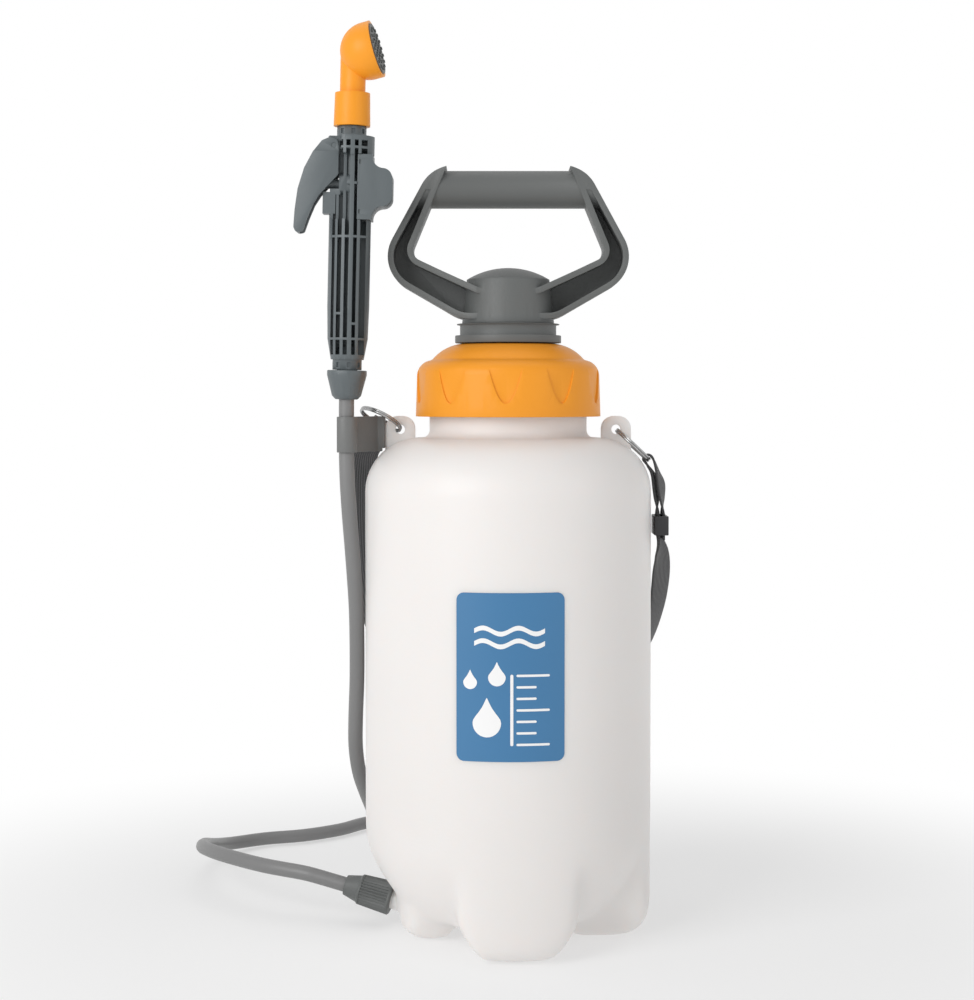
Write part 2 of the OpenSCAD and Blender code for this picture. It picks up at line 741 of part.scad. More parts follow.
module hose_tie() {
  i = (coil_from + 360 - tie_turn) / coil_sweep * coil_rings;
  r = coil_r - coil_drop(coil_done(i));
  wide = hose_r + 0.9;
  low = hose_lie - hose_r - tie_t - 0.05;
  high = hose_lie + coil_layer + hose_r + 0.2;
  color(dark) translate([coil_at.x, coil_at.y, 0]) rotate([0, 0, tie_turn]) translate([r + 0.4, 0, low])
    difference() {
      translate([-wide - tie_t, -tie_w / 2, 0]) cube([2 * (wide + tie_t), tie_w, high - low + tie_t]);
      translate([-wide, -tie_w, tie_t]) cube([2 * wide, 2 * tie_w, high - low - tie_t]);
    }
}

clip_relief = 2;
module hose_clip() {
  low = cap_z - clip_h;
  ring = hose_r + seat;
  jaw_x = -(lug_x + lug_half + seat);
  jaw_len = tongue_len + 1.5;
  web_from = [jaw_x - jaw_len + 3, -3];
  web = [clip_x, -clip_fore] - web_from;
  color(grey) difference() {
    union() {
      translate([clip_x, -clip_fore, low]) cylinder(r = ring + clip_wall, h = clip_h);
      translate([web_from.x, web_from.y, low]) rotate([0, 0, atan2(web.y, web.x)])
        translate([0, -2, 0]) cube([norm(web) - ring - 0.6, 4, clip_h]);
      translate([jaw_x - jaw_len, -tongue_t / 2 - 3.2, low]) cube([jaw_len, tongue_t + 6.4, clip_h]);
    }
    translate([clip_x, -clip_fore, low - 1]) cylinder(r = ring, h = clip_h + 2);
    translate([jaw_x - clip_relief, -20, low - 1]) cube([20, 40, clip_relief + 1]);
    translate([clip_x - 20, -clip_fore - 3.6, low - 1]) cube([20, 7.2, clip_h + 2]);
    translate([jaw_x - tongue_len - seat, -tongue_t / 2 - seat, tongue_z - tongue_h / 2 - seat])
      cube([jaw_len, tongue_t + 2 * seat, tongue_h + 2 * seat]);
  }
}

module split_ring() {
  rotate_extrude() for (side = [-1, 1]) translate([ring_r, side * 0.65]) circle(ring_wire);
}

ring_slack = lug_hole_r - 1.3 - ring_wire;
ring_left_rise = 27;
ring_left_roll = -17;
ring_right_drop = 43;
module ring_left() {
  color(steel) translate([-lug_x, 0, lug_z]) rotate([0, ring_left_rise, 0]) rotate([ring_left_roll, 0, 0])
    translate([-ring_r, 0, 0]) split_ring();
}

module ring_right() {
  color(steel) translate([lug_x, 0, lug_z]) rotate([0, ring_right_drop, 0])
    translate([ring_r + ring_slack, 0, 0]) split_ring();
}

module strap() {
  color(dark) band(strap_route, strap_t);
}

module strap_slider() {
  half = strap_half + 3;
  color(dark) translate(slider_at) difference() {
    translate([-4.4, -half, -6]) cube([8.8, 2 * half, 12]);
    for (side = [-1, 1])
      translate([side * 1.6 - 1.15, -half + 2.2, -7]) cube([2.3, 2 * half - 4.4, 14]);
  }
}

// A finger recess: a wedge with a round tip, open at the cap's shoulder
module recess_outline() {
  steps = 9;
  past = 1.18;
  polygon([
    for (i = [-steps:steps])
      let (across = past * i / steps)
      [recess_half * across, recess_len * pow(across, 2)]
  ]);
}

module cap() {
  color(orange) difference() {
    union() {
      rotate_extrude() cap_section();
      thread_ridge(
        cap_bore + 0.7, neck_r + 0.5, thread_z - thread_pitch / 2, thread_turns - 0.25, thread_root - 1.4
      );
    }
    for (i = [0:recess_count - 1]) rotate([0, 0, 360 * i / recess_count - 92]) difference() {
      translate([0, 0, recess_z]) rotate([90, 0, 90]) linear_extrude(cap_rim_r + 5) recess_outline();
      translate([0, 0, cap_z - 1]) cylinder(r = cap_side_r - recess_depth, h = 60);
    }
  }
}

// The point at given distances from two others, on the left of the way from the first to the second
function touching(a, from_a, b, from_b) =
  let (
    apart = norm(b - a),
    way = (b - a) / apart,
    along = (pow(from_a, 2) - pow(from_b, 2) + pow(apart, 2)) / (2 * apart),
    aside = sqrt(pow(from_a, 2) - pow(along, 2))
  )
  a + along * way + aside * [-way.y, way.x];

module cap_dome(inset) {
  translate([0, ledge_z - 1]) square([cap_flat_r, cap_top - inset - ledge_z + 1]);
  translate(dome_mid) intersection() {
    circle(cap_dome_r - inset, $fn = 200);
    translate([0, ledge_z - 1 - dome_mid.y]) square(cap_dome_r);
  }
}

module cap_section() {
  on_dome = dome_mid + (hollow_mid - dome_mid) * cap_dome_r / (cap_dome_r + cap_hollow_r);
  on_corner = corner_mid + (hollow_mid - corner_mid) * cap_corner / (cap_corner + cap_hollow_r);
  difference() {
    union() {
      polygon([[0, cap_z], [cap_rim_r, cap_z], [cap_side_r, cap_corner_z], [0, cap_corner_z]]);
      translate([0, cap_corner_z - 1]) square([corner_mid.x, cap_corner + 1]);
      intersection() {
        translate(corner_mid) circle(cap_corner);
        translate([0, cap_corner_z - 0.01]) square([cap_rim_r, cap_corner + 1]);
      }
      intersection() {
        cap_dome(0);
        square([corner_mid.x + cap_corner / 2, cap_top]);
      }
      difference() {
        polygon([on_dome, on_corner, corner_mid]);
        translate(hollow_mid) circle(cap_hollow_r);
      }
    }
    translate([0, cap_z - 1]) square([cap_bore, ledge_z - cap_z + 1]);
    intersection() {
      cap_dome(cap_wall);
      square([neck_bore - 2, cap_top]);
    }
    translate([0, ledge_z - 1]) square([barrel_r + moving, 60]);
  }
}

module neck_gasket() {
  color(dark) translate([0, 0, gasket_z]) difference() {
    cylinder(r = flange_r, h = gasket_t);
    translate([0, 0, -1]) cylinder(r = neck_bore + 0.4, h = gasket_t + 2);
  }
}

module pump_barrel() {
  color(slate) difference() {
    union() {
      translate([0, 0, barrel_foot]) cylinder(r = barrel_r, h = barrel_top - barrel_foot);
      translate([0, 0, flange_z]) cylinder(r = flange_r, h = flange_t);
    }
    translate([0, 0, barrel_foot - 1]) cylinder(r = barrel_bore, h = barrel_top);
  }
}

module pump_collar() {
  lip = 0.7;
  color(grey) translate([0, 0, collar_z]) difference() {
    union() {
      cylinder(r = collar_foot_r, h = collar_foot_h);
      cylinder(r = collar_r, h = collar_h);
      translate([0, 0, collar_h - lip]) cylinder(r = collar_r + 2, h = lip);
    }
    translate([0, 0, -1]) cylinder(r = barrel_r + running, h = collar_h - collar_top + 1);
    cylinder(r = rod_r + running, h = 2 * collar_h);
  }
}

valve_hole_r = 1.6;
module valve_plate() {
  color(slate) translate([0, 0, barrel_foot]) difference() {
    cylinder(r = barrel_bore - running, h = valve_plate_t);
    translate([0, 0, -1]) cylinder(r = valve_hole_r + running, h = 2 * valve_plate_t);
    for (i = [0:5]) rotate([0, 0, 60 * i]) translate([5.6, 0, -1]) cylinder(r = 1.5, h = 2 * valve_plate_t);
  }
}

module valve_disc() {
  disc_t = 1.6;
  color(dark) {
    translate([0, 0, barrel_foot - valve_lift - moving - disc_t]) cylinder(r = valve_disc_r, h = disc_t);
    translate([0, 0, barrel_foot - valve_lift - 0.5])
      cylinder(r = valve_hole_r, h = valve_plate_t + valve_lift + stem_head_t + 0.7);
    translate([0, 0, plate_top + moving]) cylinder(r = 3, h = stem_head_t);
  }
}

seal_z = 3;
seal_h = 4;
module piston() {
  color(orange) translate([0, 0, piston_z]) difference() {
    cylinder(r = barrel_bore - 0.4, h = piston_h);
    translate([0, 0, piston_h - rod_seat]) cylinder(r = rod_r + running, h = rod_seat + 1);
    translate([0, 0, seal_z]) difference() {
      cylinder(r = barrel_bore + 1, h = seal_h);
      translate([0, 0, -1]) cylinder(r = barrel_bore - 3, h = seal_h + 2);
    }
  }
}

module piston_seal() {
  color(dark) translate([0, 0, piston_z + seal_z + seat]) difference() {
    cylinder(r = barrel_bore - running, h = seal_h - 2 * seat);
    translate([0, 0, -1]) cylinder(r = barrel_bore - 3 + running, h = seal_h + 2);
  }
}

module pump_rod() {
  color(slate) translate([0, 0, rod_foot]) difference() {
    cylinder(r = rod_r, h = rod_top - rod_foot);
    translate([0, 0, -1]) cylinder(r = rod_r - rod_wall, h = rod_top);
  }
}

// Handle drawings, in the XZ plane above the collar
module handle_outer() {
  foot = hub_h - 25.1;
  offset(r = handle_round) offset(delta = -handle_round) polygon([
    [grip_half, handle_h], [handle_half, handle_corner_z], [arm_foot, foot], [-arm_foot, foot],
    [-handle_half, handle_corner_z], [-grip_half, handle_h]
  ]);
}

// The opening between the arms, which runs up past the grip bar
module handle_inner() {
  corner = [handle_half - arm_corner, handle_corner_z + 9];
  top = [grip_half - 26.5, handle_h + 42];
  foot = [arm_foot - 12, hub_h - 6];
  offset(r = handle_inner_round) offset(delta = -handle_inner_round) polygon([
    top, corner, foot, [-foot.x, foot.y], [-corner.x, corner.y], [-top.x, top.y]
  ]);
}

module arm_pockets() {
  difference() {
    offset(delta = -arm_flange) handle_outer();
    offset(delta = arm_flange) handle_inner();
    translate([-handle_half, grip_h - 1]) square([2 * handle_half, handle_h]);
  }
}

// The arms from above: even in depth, then deeper towards the hub
module arm_depth() {
  even = arm_foot + 12;
  deep = arm_foot - 10;
  polygon([
    [handle_half, arm_half], [even, arm_half], [deep, arm_root_half], [-deep, arm_root_half],
    [-even, arm_half], [-handle_half, arm_half], [-handle_half, -arm_half], [-even, -arm_half],
    [-deep, -arm_root_half], [deep, -arm_root_half], [even, -arm_half], [handle_half, -arm_half]
  ]);
}

module handle() {
  dome_r = (pow(hub_top_r, 2) + pow(hub_dome, 2)) / (2 * hub_dome);
  color(grey) translate([0, 0, handle_z]) difference() {
    union() {
      intersection() {
        difference() {
          upright(2 * arm_root_half + 2) difference() {
            handle_outer();
            handle_inner();
          }
          translate([0, arm_half - arm_web - arm_root_half - 2, 0]) upright(2 * arm_root_half + 4)
            arm_pockets();
        }
        linear_extrude(handle_h + 1) arm_depth();
      }
      intersection() {
        translate([-handle_half, 0, grip_h]) rotate([0, 90, 0]) cylinder(r = grip_r, h = 2 * handle_half);
        upright(4 * grip_r) handle_outer();
      }
      cylinder(r1 = hub_foot_r, r2 = hub_top_r, h = hub_h);
      intersection() {
        translate([0, 0, hub_h + hub_dome - dome_r]) sphere(dome_r, $fn = 128);
        translate([0, 0, hub_h - 1]) cylinder(r = hub_top_r - 0.02, h = hub_dome + 2);
      }
    }
    translate([0, 0, -1]) cylinder(r = rod_r + running, h = rod_top - handle_z + 1);
  }
}

// Frame of the handset: +Z along its axis, from the foot of its hose nut
module at_handset() {
  translate([clip_x, -clip_fore, handset_z]) rotate([0, handset_lean, 0]) scale(handset_size) children();
}

module handset_nut() {
  color(slate) at_handset() difference() {
    intersection() {
      rotate_extrude() polygon([
        [0, 0], [hnut_nose_r - 2.2, 0], [hnut_nose_r, 2.4], [hnut_r, hnut_len - 3],
        [hnut_r, hnut_len], [0, hnut_len]
      ]);
      rotate([0, 0, 12]) cylinder(r = hnut_r + 0.7, h = hnut_len, $fn = 8);
    }
    translate([0, 0, -1]) cylinder(r = hose_r + 0.2, h = 40);
    translate([0, 0, hose_end]) cylinder(r = tube_r + seat, h = 40);
  }
}

// The handset's openwork: columns of slots, front and back, between cross ribs
slot_edges = [[-10.4, -8.5], [-6.9, -4.2], [-2.3, 0.4], [3, 5.3], [7.1, 10.7]];
cross_ribs = [grip_full - 0.1, upper_from - 10.8, upper_from + 22.5, block_from + 3.6];
cover_x = 4.9;
cover_from = stem_z - 22.6;
cover_to = stem_z + 17.9;
cover_half = 11.6;
cover_wall = 2;

module grip_form() {
  rotate_extrude() polygon([
    [0, grip_from], [10.4, grip_from], [grip_body_r - 0.5, grip_full],
    [grip_body_r, grip_full + 20], [grip_body_r, block_from], [0, block_from]
  ]);
  translate([0, 0, block_from - 1]) cylinder(r = grip_body_r + 1.3, h = body_h - block_from + 1);
}

module grip_slots() {
  difference() {
    for (e = slot_edges, side = [0, 1])
      mirror([0, side, 0]) translate([e[0], grip_web / 2, grip_from + 3])
        cube([e[1] - e[0], 30, body_h - grip_from - 6]);
    for (z = cross_ribs) translate([-20, -20, z - rib_t / 2]) cube([40, 40, rib_t]);
    translate([-6.9, -20, grip_full + 15.7 - rib_t / 2]) cube([2.7, 40, rib_t]);
    translate([3, -20, grip_full + 9.4 - rib_t / 2]) cube([2.3, 40, rib_t]);
    cylinder(r = core_r, h = body_h);
    translate([-30, 0, stem_z]) rotate([0, 90, 0]) cylinder(r = tube_r + 0.6, h = 60);
  }
}

module collar_ports(z, r) {
  for (i = [0:7]) rotate([0, 0, 45 * i + 10]) translate([r - 1, -1.2, z]) cube([4, 2.4, 3]);
}

module handset_body() {
  slot_out = spine_half;
  color(slate) at_handset() difference() {
    union() {
      difference() {
        grip_form();
        grip_slots();
        for (side = [0, 1]) mirror([0, side, 0]) {
          translate([-30, slot_out, upper_from]) cube([28.5, 30, block_from - upper_from]);
          translate([-30, slot_out, block_from - 1]) cube([24.5, 30, body_h - block_from + 2]);
        }
        translate([-30, -30, stem_z - 5.5]) cube([23, 60, block_from - stem_z + 5.5]);
        difference() {
          translate([cover_x - 0.2, -30, cover_from - 0.2]) cube([40, 60, cover_to - cover_from + 0.4]);
          cylinder(r = tube_r, h = body_h);
          translate([0, 0, stem_z]) rotate([0, 90, 0]) cylinder(r = tube_r + 0.6, h = 11.5);
        }
      }
      translate([-17, -spine_half, stem_z - 19]) cube([8, 2 * spine_half, 13.5]);
      translate([-12.6, -spine_half, stem_z - 7]) cube([6.6, 2 * spine_half, 3.6]);
      translate([0, 0, hose_end]) cylinder(r = tube_r, h = grip_from);
      difference() {
        translate([0, 0, neck_from]) cylinder(r = 9.2, h = grip_from - neck_from + 1);
        collar_ports(neck_from + 1.6, 9.2);
      }
      difference() {
        translate([0, 0, body_h - 1]) cylinder(r = 9.2, h = spout_top - body_h + 1);
        collar_ports(body_h + 1.6, 9.2);
      }
      difference() {
        translate([0, 0, body_h]) cylinder(r = spigot_r, h = spigot_top - body_h);
        translate([0, 0, spigot_top - 8]) difference() {
          cylinder(r = 20, h = 2.6);
          translate([0, 0, -1]) cylinder(r = spigot_r - 1.9, h = 5);
        }
      }
    }
    translate([0, 0, hose_end - 1]) cylinder(r = water_r, h = spigot_top);
    translate([-20, 0, stem_z]) rotate([0, 90, 0]) cylinder(r = stem_r + running, h = 60);
    translate([1.5, 0, stem_z]) rotate([0, 90, 0]) cylinder(r = stem_r + 1.8, h = 60);
    translate([-pin_out, 0, pin_z]) rotate([90, 0, 0]) cylinder(r = pin_r + running, h = 60, center = true);
  }
}

module valve_stem() {
  color(slate) at_handset() translate([0, 0, stem_z]) rotate([0, 90, 0]) {
    translate([0, 0, -18.4]) cylinder(r = stem_r, h = 30.4);
    difference() {
      translate([0, 0, 3]) cylinder(r = stem_r + 1.5, h = 9);
      translate([0, 0, 5]) difference() {
        cylinder(r = 20, h = 2.4);
        translate([0, 0, -1]) cylinder(r = stem_r + 0.2, h = 5);
      }
    }
  }
}

module stem_seal() {
  color(dark) at_handset() translate([5.1, 0, stem_z]) rotate([0, 90, 0]) difference() {
    cylinder(r = stem_r + 1.8 - running, h = 2.2);
    translate([0, 0, -1]) cylinder(r = stem_r + 0.2 + running, h = 5);
  }
}

module valve_spring() {
  coils = 5;
  from = 12.4;
  to = 24.2;
  wire = 0.45;
  steps = 8;
  p = [
    for (i = [0:coils * steps])
      let (a = 360 * i / steps)
      [from + wire + (to - from - 2 * wire) * i / (coils * steps), 3.4 * cos(a), stem_z + 3.4 * sin(a)]
  ];
  color(steel) at_handset() tube(p, wire, 6);
}

// The cover's outline: a flange, a bulge with round corners, and a fillet on each side of it
module cover_outline() {
  edge = 14;
  low = stem_z - 14.2;
  high = stem_z + 9.5;
  fillet = 7;
  translate([cover_x - 8, cover_from]) square([edge - cover_x + 8, cover_to - cover_from]);
  offset(r = 6) offset(delta = -6) translate([cover_x - 8, low]) square([34.4 - cover_x, high - low]);
  difference() {
    translate([edge - 4, low - fillet]) square([fillet + 4, high - low + 2 * fillet]);
    for (z = [low - fillet, high + fillet]) translate([edge + fillet, z]) circle(fillet);
  }
}

module valve_cover() {
  color(slate) at_handset() difference() {
    upright(2 * cover_half) cover_outline();
    upright(2 * (cover_half - cover_wall)) offset(delta = -cover_wall) cover_outline();
    translate([cover_x - 30, -30, 0]) cube([30, 60, 300]);
    cylinder(r = tube_r + seat, h = 300);
    for (side = [-1, 1], z = [cover_from + 3.5, cover_to - 6])
      translate([cover_x + 0.8, side * cover_half - 1, z]) cube([1.2, 2, 2.6]);
  }
}

module trigger_outline() {
  translate([0, pin_z]) offset(r = 2) offset(delta = -2) polygon([
    [-13, 5.1], [-18, 2.9], [-23.4, -4], [-28.8, -14.5], [-32.6, -27.5], [-34.2, -40.5], [-34.8, -51.5],
    [-33.2, -54.9], [-29, -53.9], [-26.2, -45.5], [-22.8, -37], [-19, -30.9], [-7.4, -18.1],
    [-7.4, -0.5], [-8.4, 3.5]
  ]);
}

module trigger() {
  inner = spine_half + moving;
  color(slate) at_handset() difference() {
    union() {
      for (side = [-1, 1])
        translate([0, side * (inner + cheek_t / 2), 0]) upright(cheek_t) trigger_outline();
      upright(2 * inner + 1) difference() {
        trigger_outline();
        translate([2.6, -1]) trigger_outline();
        translate([-24, pin_z - 8.5]) square([30, 30]);
      }
      translate([-30.3, -inner - 0.5, stem_z - 1.6]) cube([11.3, 2 * inner + 1, 3.2]);
    }
    for (side = [0, 1]) mirror([0, side, 0])
      translate([-40, inner + cheek_t - cheek_step, pin_z - 3.7]) cube([50, 5, 20]);
    translate([-pin_out, 0, pin_z]) rotate([90, 0, 0]) cylinder(r = pin_r + running, h = 60, center = true);
  }
}

module trigger_pin() {
  half = spine_half + moving + cheek_t - cheek_step - 0.3;
  color(dark) at_handset() translate([-pin_out, 0, pin_z]) rotate([90, 0, 0])
    cylinder(r = pin_r, h = 2 * half, center = true);
}

// Frame of the shower head, turned on the spout
module at_head() {
  at_handset() rotate([0, 0, -head_turn]) children();
}

// Frame of the spray face: +Z out of the face, from its centre
module at_face() {
  translate([bell_x, 0, bell_z]) rotate([0, 90 - face_tilt, 0]) translate([0, 0, face_out]) children();
}

// A cup with a round back, about the axis of the spray face
module bell_form(r, depth) {
  at_face() translate([0, 0, -face_out]) rotate_extrude() {
    square([r, depth]);
    intersection() {
      circle(r, $fn = 128);
      translate([0, -r - 1]) square([r + 1, r + 1]);
    }
  }
}

module shower_head() {
  color(orange) at_head() difference() {
    union() {
      translate([0, 0, spout_top + moving])
        cylinder(r1 = head_collar_r, r2 = head_collar_r - 0.5, h = head_collar_h);
      translate([0, 0, spout_top + moving]) cylinder(r = head_neck_r, h = bell_z - spout_top - 3);
      bell_form(bell_r, face_out);
    }
    translate([0, 0, spout_top - 1]) cylinder(r = spigot_r + running, h = spigot_top - spout_top + 1.5);
    translate([0, 0, spout_top]) cylinder(r = head_neck_r - head_wall, h = bell_z - spout_top);
    bell_form(bell_r - head_wall - plate_ledge, face_out - plate_t + 1);
    at_face() translate([0, 0, 0.6 - plate_t]) cylinder(r = plate_r + running, h = 20);
  }
}

module head_seal() {
  color(dark) at_handset() translate([0, 0, spigot_top - 8 + seat]) difference() {
    cylinder(r = spigot_r, h = 2.6 - 2 * seat);
    translate([0, 0, -1]) cylinder(r = spigot_r - 1.9 + running, h = 5);
  }
}

module spray_plate() {
  rows = [[1, 0], [6, 4.5], [12, 8.7], [18, 12.9]];
  color(grey) at_head() at_face() difference() {
    union() {
      translate([0, 0, 0.7 - plate_t]) cylinder(r = plate_r, h = plate_t);
      for (row = rows, i = [0:row[0] - 1])
        rotate([0, 0, 360 * i / row[0]]) translate([row[1], 0, 0]) cylinder(r = 1, h = 1.6, $fn = 24);
    }
    for (row = rows, i = [0:row[0] - 1])
      rotate([0, 0, 360 * i / row[0]]) translate([row[1], 0, -10]) cylinder(r = 0.45, h = 20, $fn = 16);
  }
}

bottle();
outlet_washer();
outlet_tail();
outlet_nut();
hose_lower();
hose_coil();
hose_tie();
hose_upper();
hose_clip();
ring_left();
ring_right();
strap();
strap_slider();
cap();
neck_gasket();
pump_barrel();
pump_collar();
valve_plate();
valve_disc();
piston();
piston_seal();
pump_rod();
handle();
handset_body();
handset_nut();
trigger();
trigger_pin();
valve_stem();
stem_seal();
valve_spring();
valve_cover();
shower_head();
head_seal();
spray_plate();
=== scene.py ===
import bpy
import json
import math
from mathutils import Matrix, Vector

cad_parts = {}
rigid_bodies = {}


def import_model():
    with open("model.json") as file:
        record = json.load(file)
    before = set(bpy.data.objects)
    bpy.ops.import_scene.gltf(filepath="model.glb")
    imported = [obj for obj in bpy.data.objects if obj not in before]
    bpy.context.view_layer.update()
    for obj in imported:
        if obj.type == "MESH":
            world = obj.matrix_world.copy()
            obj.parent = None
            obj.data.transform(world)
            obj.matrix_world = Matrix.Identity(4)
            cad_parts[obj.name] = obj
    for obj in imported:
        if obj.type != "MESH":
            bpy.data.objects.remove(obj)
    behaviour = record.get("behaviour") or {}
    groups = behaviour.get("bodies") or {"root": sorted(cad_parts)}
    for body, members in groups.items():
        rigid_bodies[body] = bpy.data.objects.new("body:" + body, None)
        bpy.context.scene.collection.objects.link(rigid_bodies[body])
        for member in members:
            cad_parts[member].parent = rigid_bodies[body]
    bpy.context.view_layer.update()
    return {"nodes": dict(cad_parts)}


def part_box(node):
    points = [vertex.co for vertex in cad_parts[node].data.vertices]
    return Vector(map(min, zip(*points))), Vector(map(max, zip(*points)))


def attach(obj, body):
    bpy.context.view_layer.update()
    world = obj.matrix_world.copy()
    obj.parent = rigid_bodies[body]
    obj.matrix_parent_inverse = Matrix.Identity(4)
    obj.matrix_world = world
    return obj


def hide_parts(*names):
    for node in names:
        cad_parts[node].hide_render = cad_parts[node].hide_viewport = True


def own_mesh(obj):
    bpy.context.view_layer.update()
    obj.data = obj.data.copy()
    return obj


# A pump-up camp shower, dressed round its CAD frame. Metres, +Z up, with the front towards -Y.
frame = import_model()
nodes = frame["nodes"]

# Camera: a long lens a little over a metre away, level with the cap and tipped slightly down, as in the
# studio photograph. A small drop of the frame keeps the bottle's sides upright.
camera_place, camera_dip = (-0.0133, -1.2657, 0.3412), 1.63
camera_data = bpy.data.cameras.new("studio_camera")
camera_data.lens = 72.21
camera_data.sensor_width = 36
camera_data.shift_y = -0.05
camera = bpy.data.objects.new("studio_camera", camera_data)
camera.location = camera_place
camera.rotation_euler = (math.radians(90 - camera_dip), 0, 0)
bpy.context.scene.collection.objects.link(camera)
bpy.context.scene.camera = camera
bpy.context.scene.view_settings.view_transform = "Standard"

# Hose: one length of soft grey PVC tube. It leaves the knurled nut at the base, runs round behind the
# bottle, lies in a tied coil and comes up through the clip into the foot of the handset.
hose_radius, hose_steps = 0.00475, 4
hose_outlet = Vector((-0.0905, 0.01515, 0.02118))
lower_route = [
    (-0.1141, 0.0191, 0.0272), (-0.122, 0.0205, 0.02915), (-0.133, 0.023, 0.0313), (-0.160, 0.036, 0.033),
    (-0.190, 0.066, 0.033), (-0.207, 0.100, 0.030), (-0.212, 0.140, 0.023), (-0.211, 0.175, 0.015),
    (-0.203, 0.210, 0.008), (-0.180, 0.235, 0.006), (-0.152, 0.246, 0.006), (-0.126, 0.266, 0.006),
    (-0.108, 0.290, 0.006), (-0.080, 0.310, 0.006), (-0.049, 0.319, 0.006), (-0.015, 0.318, 0.006),
    (0.018, 0.306, 0.006), (0.044, 0.280, 0.006), (0.056, 0.248, 0.006), (0.055, 0.215, 0.006),
    (0.042, 0.190, 0.006),
]
upper_route = [
    (-0.044, 0.1625, 0.0172), (-0.066, 0.154, 0.022), (-0.082, 0.134, 0.031), (-0.088, 0.104, 0.045),
    (-0.090, 0.074, 0.062), (-0.094, 0.052, 0.080), (-0.097, 0.038, 0.095), (-0.0983, 0.027, 0.113),
    (-0.0976, 0.017, 0.133), (-0.0962, 0.008, 0.158), (-0.0956, 0.0, 0.183), (-0.0955, -0.008, 0.206),
    (-0.0962, -0.015, 0.226), (-0.0973, -0.020, 0.246), (-0.0986, -0.024, 0.266), (-0.0996, -0.0264, 0.285),
    (-0.1001, -0.027, 0.303), (-0.1001, -0.027, 0.3265), (-0.0999, -0.027, 0.345),
]
coil_centre = Vector((-0.015, 0.225, 0.006))
coil_radius, coil_step, coil_layer = 0.061, 0.0125, 0.0102
coil_start, coil_sweep, coil_climb, coil_points = -60, 750, 180, 50


def coil_point(done):
    """A point of the coil after so many degrees: inwards on the floor, up a layer, and out again."""
    flat = (coil_sweep - coil_climb) / 2
    radius = coil_radius - coil_step / 360 * min(done, flat, coil_sweep - done)
    up = max(0, min(1, (done - flat) / coil_climb))
    turn = math.radians(coil_start - done)
    rise = coil_layer * (3 * up * up - 2 * up ** 3)
    return coil_centre + Vector((radius * math.cos(turn), radius * math.sin(turn), rise))


def through(points, steps):
    """A smooth run through listed points, with so many steps between neighbours."""
    run = []
    for i in range(len(points) - 1):
        a, b, c, d = (Vector(points[max(0, min(len(points) - 1, i + k))]) for k in (-1, 0, 1, 2))
        for k in range(steps):
            t = k / steps
            square, cube = 2 * a - 5 * b + 4 * c - d, 3 * b - a - 3 * c + d
            run.append(0.5 * (2 * b + (c - a) * t + square * t ** 2 + cube * t ** 3))
    return run + [Vector(points[-1])]


coil_run = [coil_point(coil_sweep * i / coil_points) for i in range(coil_points + 1)]
hose_run = through([hose_outlet, *lower_route, *coil_run, *upper_route], hose_steps)
hose_curve = bpy.data.curves.new("hose", "CURVE")
hose_curve.dimensions = "3D"
hose_curve.bevel_depth = 1.0
hose_curve.bevel_resolution = 5
hose_curve.use_fill_caps = True
hose_spline = hose_curve.splines.new("POLY")
hose_spline.points.add(len(hose_run) - 1)
for point, spot in zip(hose_spline.points, hose_run):
    point.co = (*spot, 1)
    point.radius = hose_radius
hose_spline.use_smooth = True
hose = bpy.data.objects.new("hose", hose_curve)
bpy.context.scene.collection.objects.link(hose)
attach(hose, "bottle_set")
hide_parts("hose_lower", "hose_coil", "hose_upper")


# Moulded plastic: a satin surface whose fine mould grain and slow tone drift are shared by every
# plastic piece. The group gives the tone, the roughness and the grain's height.
def new_group(name, inputs, outputs):
    """A shader group with named sockets, and its nodes for what goes in and comes out."""
    group = bpy.data.node_groups.new(name, "ShaderNodeTree")
    for label, kind, value in inputs:
        socket = group.interface.new_socket(label, in_out="INPUT", socket_type=kind)
        socket.default_value = value
    for label, kind in outputs:
        group.interface.new_socket(label, in_out="OUTPUT", socket_type=kind)
    return group, group.nodes.new("NodeGroupInput"), group.nodes.new("NodeGroupOutput")


def add(tree, kind, **values):
    """A node with its settings. A name with a leading in_ sets the input socket of that name."""
    node = tree.nodes.new(kind)
    for key, value in values.items():
        if key.startswith("in_"):
            node.inputs[key[3:].replace("_", " ")].default_value = value
        else:
            setattr(node, key, value)
    return node


moulded, taken, given = new_group(
    "moulded_grain",
    [("Colour", "NodeSocketColor", (0.5, 0.5, 0.5, 1)), ("Grain Size", "NodeSocketFloat", 1800),
     ("Roughness", "NodeSocketFloat", 0.45), ("Drift", "NodeSocketFloat", 0.06)],
    [("Tone", "NodeSocketColor"), ("Roughness", "NodeSocketFloat"), ("Height", "NodeSocketFloat")],
)
shine_swing = 0.06
grain_place = add(moulded, "ShaderNodeTexCoord")
grain = add(moulded, "ShaderNodeTexNoise", in_Detail=3.0, in_Roughness=0.6)
slow = add(moulded, "ShaderNodeTexNoise", in_Scale=14.0, in_Detail=2.0)
span = add(moulded, "ShaderNodeMapRange", in_To_Min=-1.0, in_To_Max=1.0)
drift = add(moulded, "ShaderNodeMath", operation="MULTIPLY_ADD")
drift.inputs[2].default_value = 1.0
tone = add(moulded, "ShaderNodeVectorMath", operation="SCALE")
shine = add(moulded, "ShaderNodeMapRange", in_From_Min=0.3, in_From_Max=0.7)
smoother = add(moulded, "ShaderNodeMath", operation="SUBTRACT")
smoother.inputs[1].default_value = shine_swing
rougher = add(moulded, "ShaderNodeMath", operation="ADD")
rougher.inputs[1].default_value = shine_swing
link = moulded.links.new
link(grain_place.outputs["Object"], grain.inputs["Vector"])
link(grain_place.outputs["Object"], slow.inputs["Vector"])
link(taken.outputs["Grain Size"], grain.inputs["Scale"])
link(slow.outputs["Fac"], span.inputs["Value"])
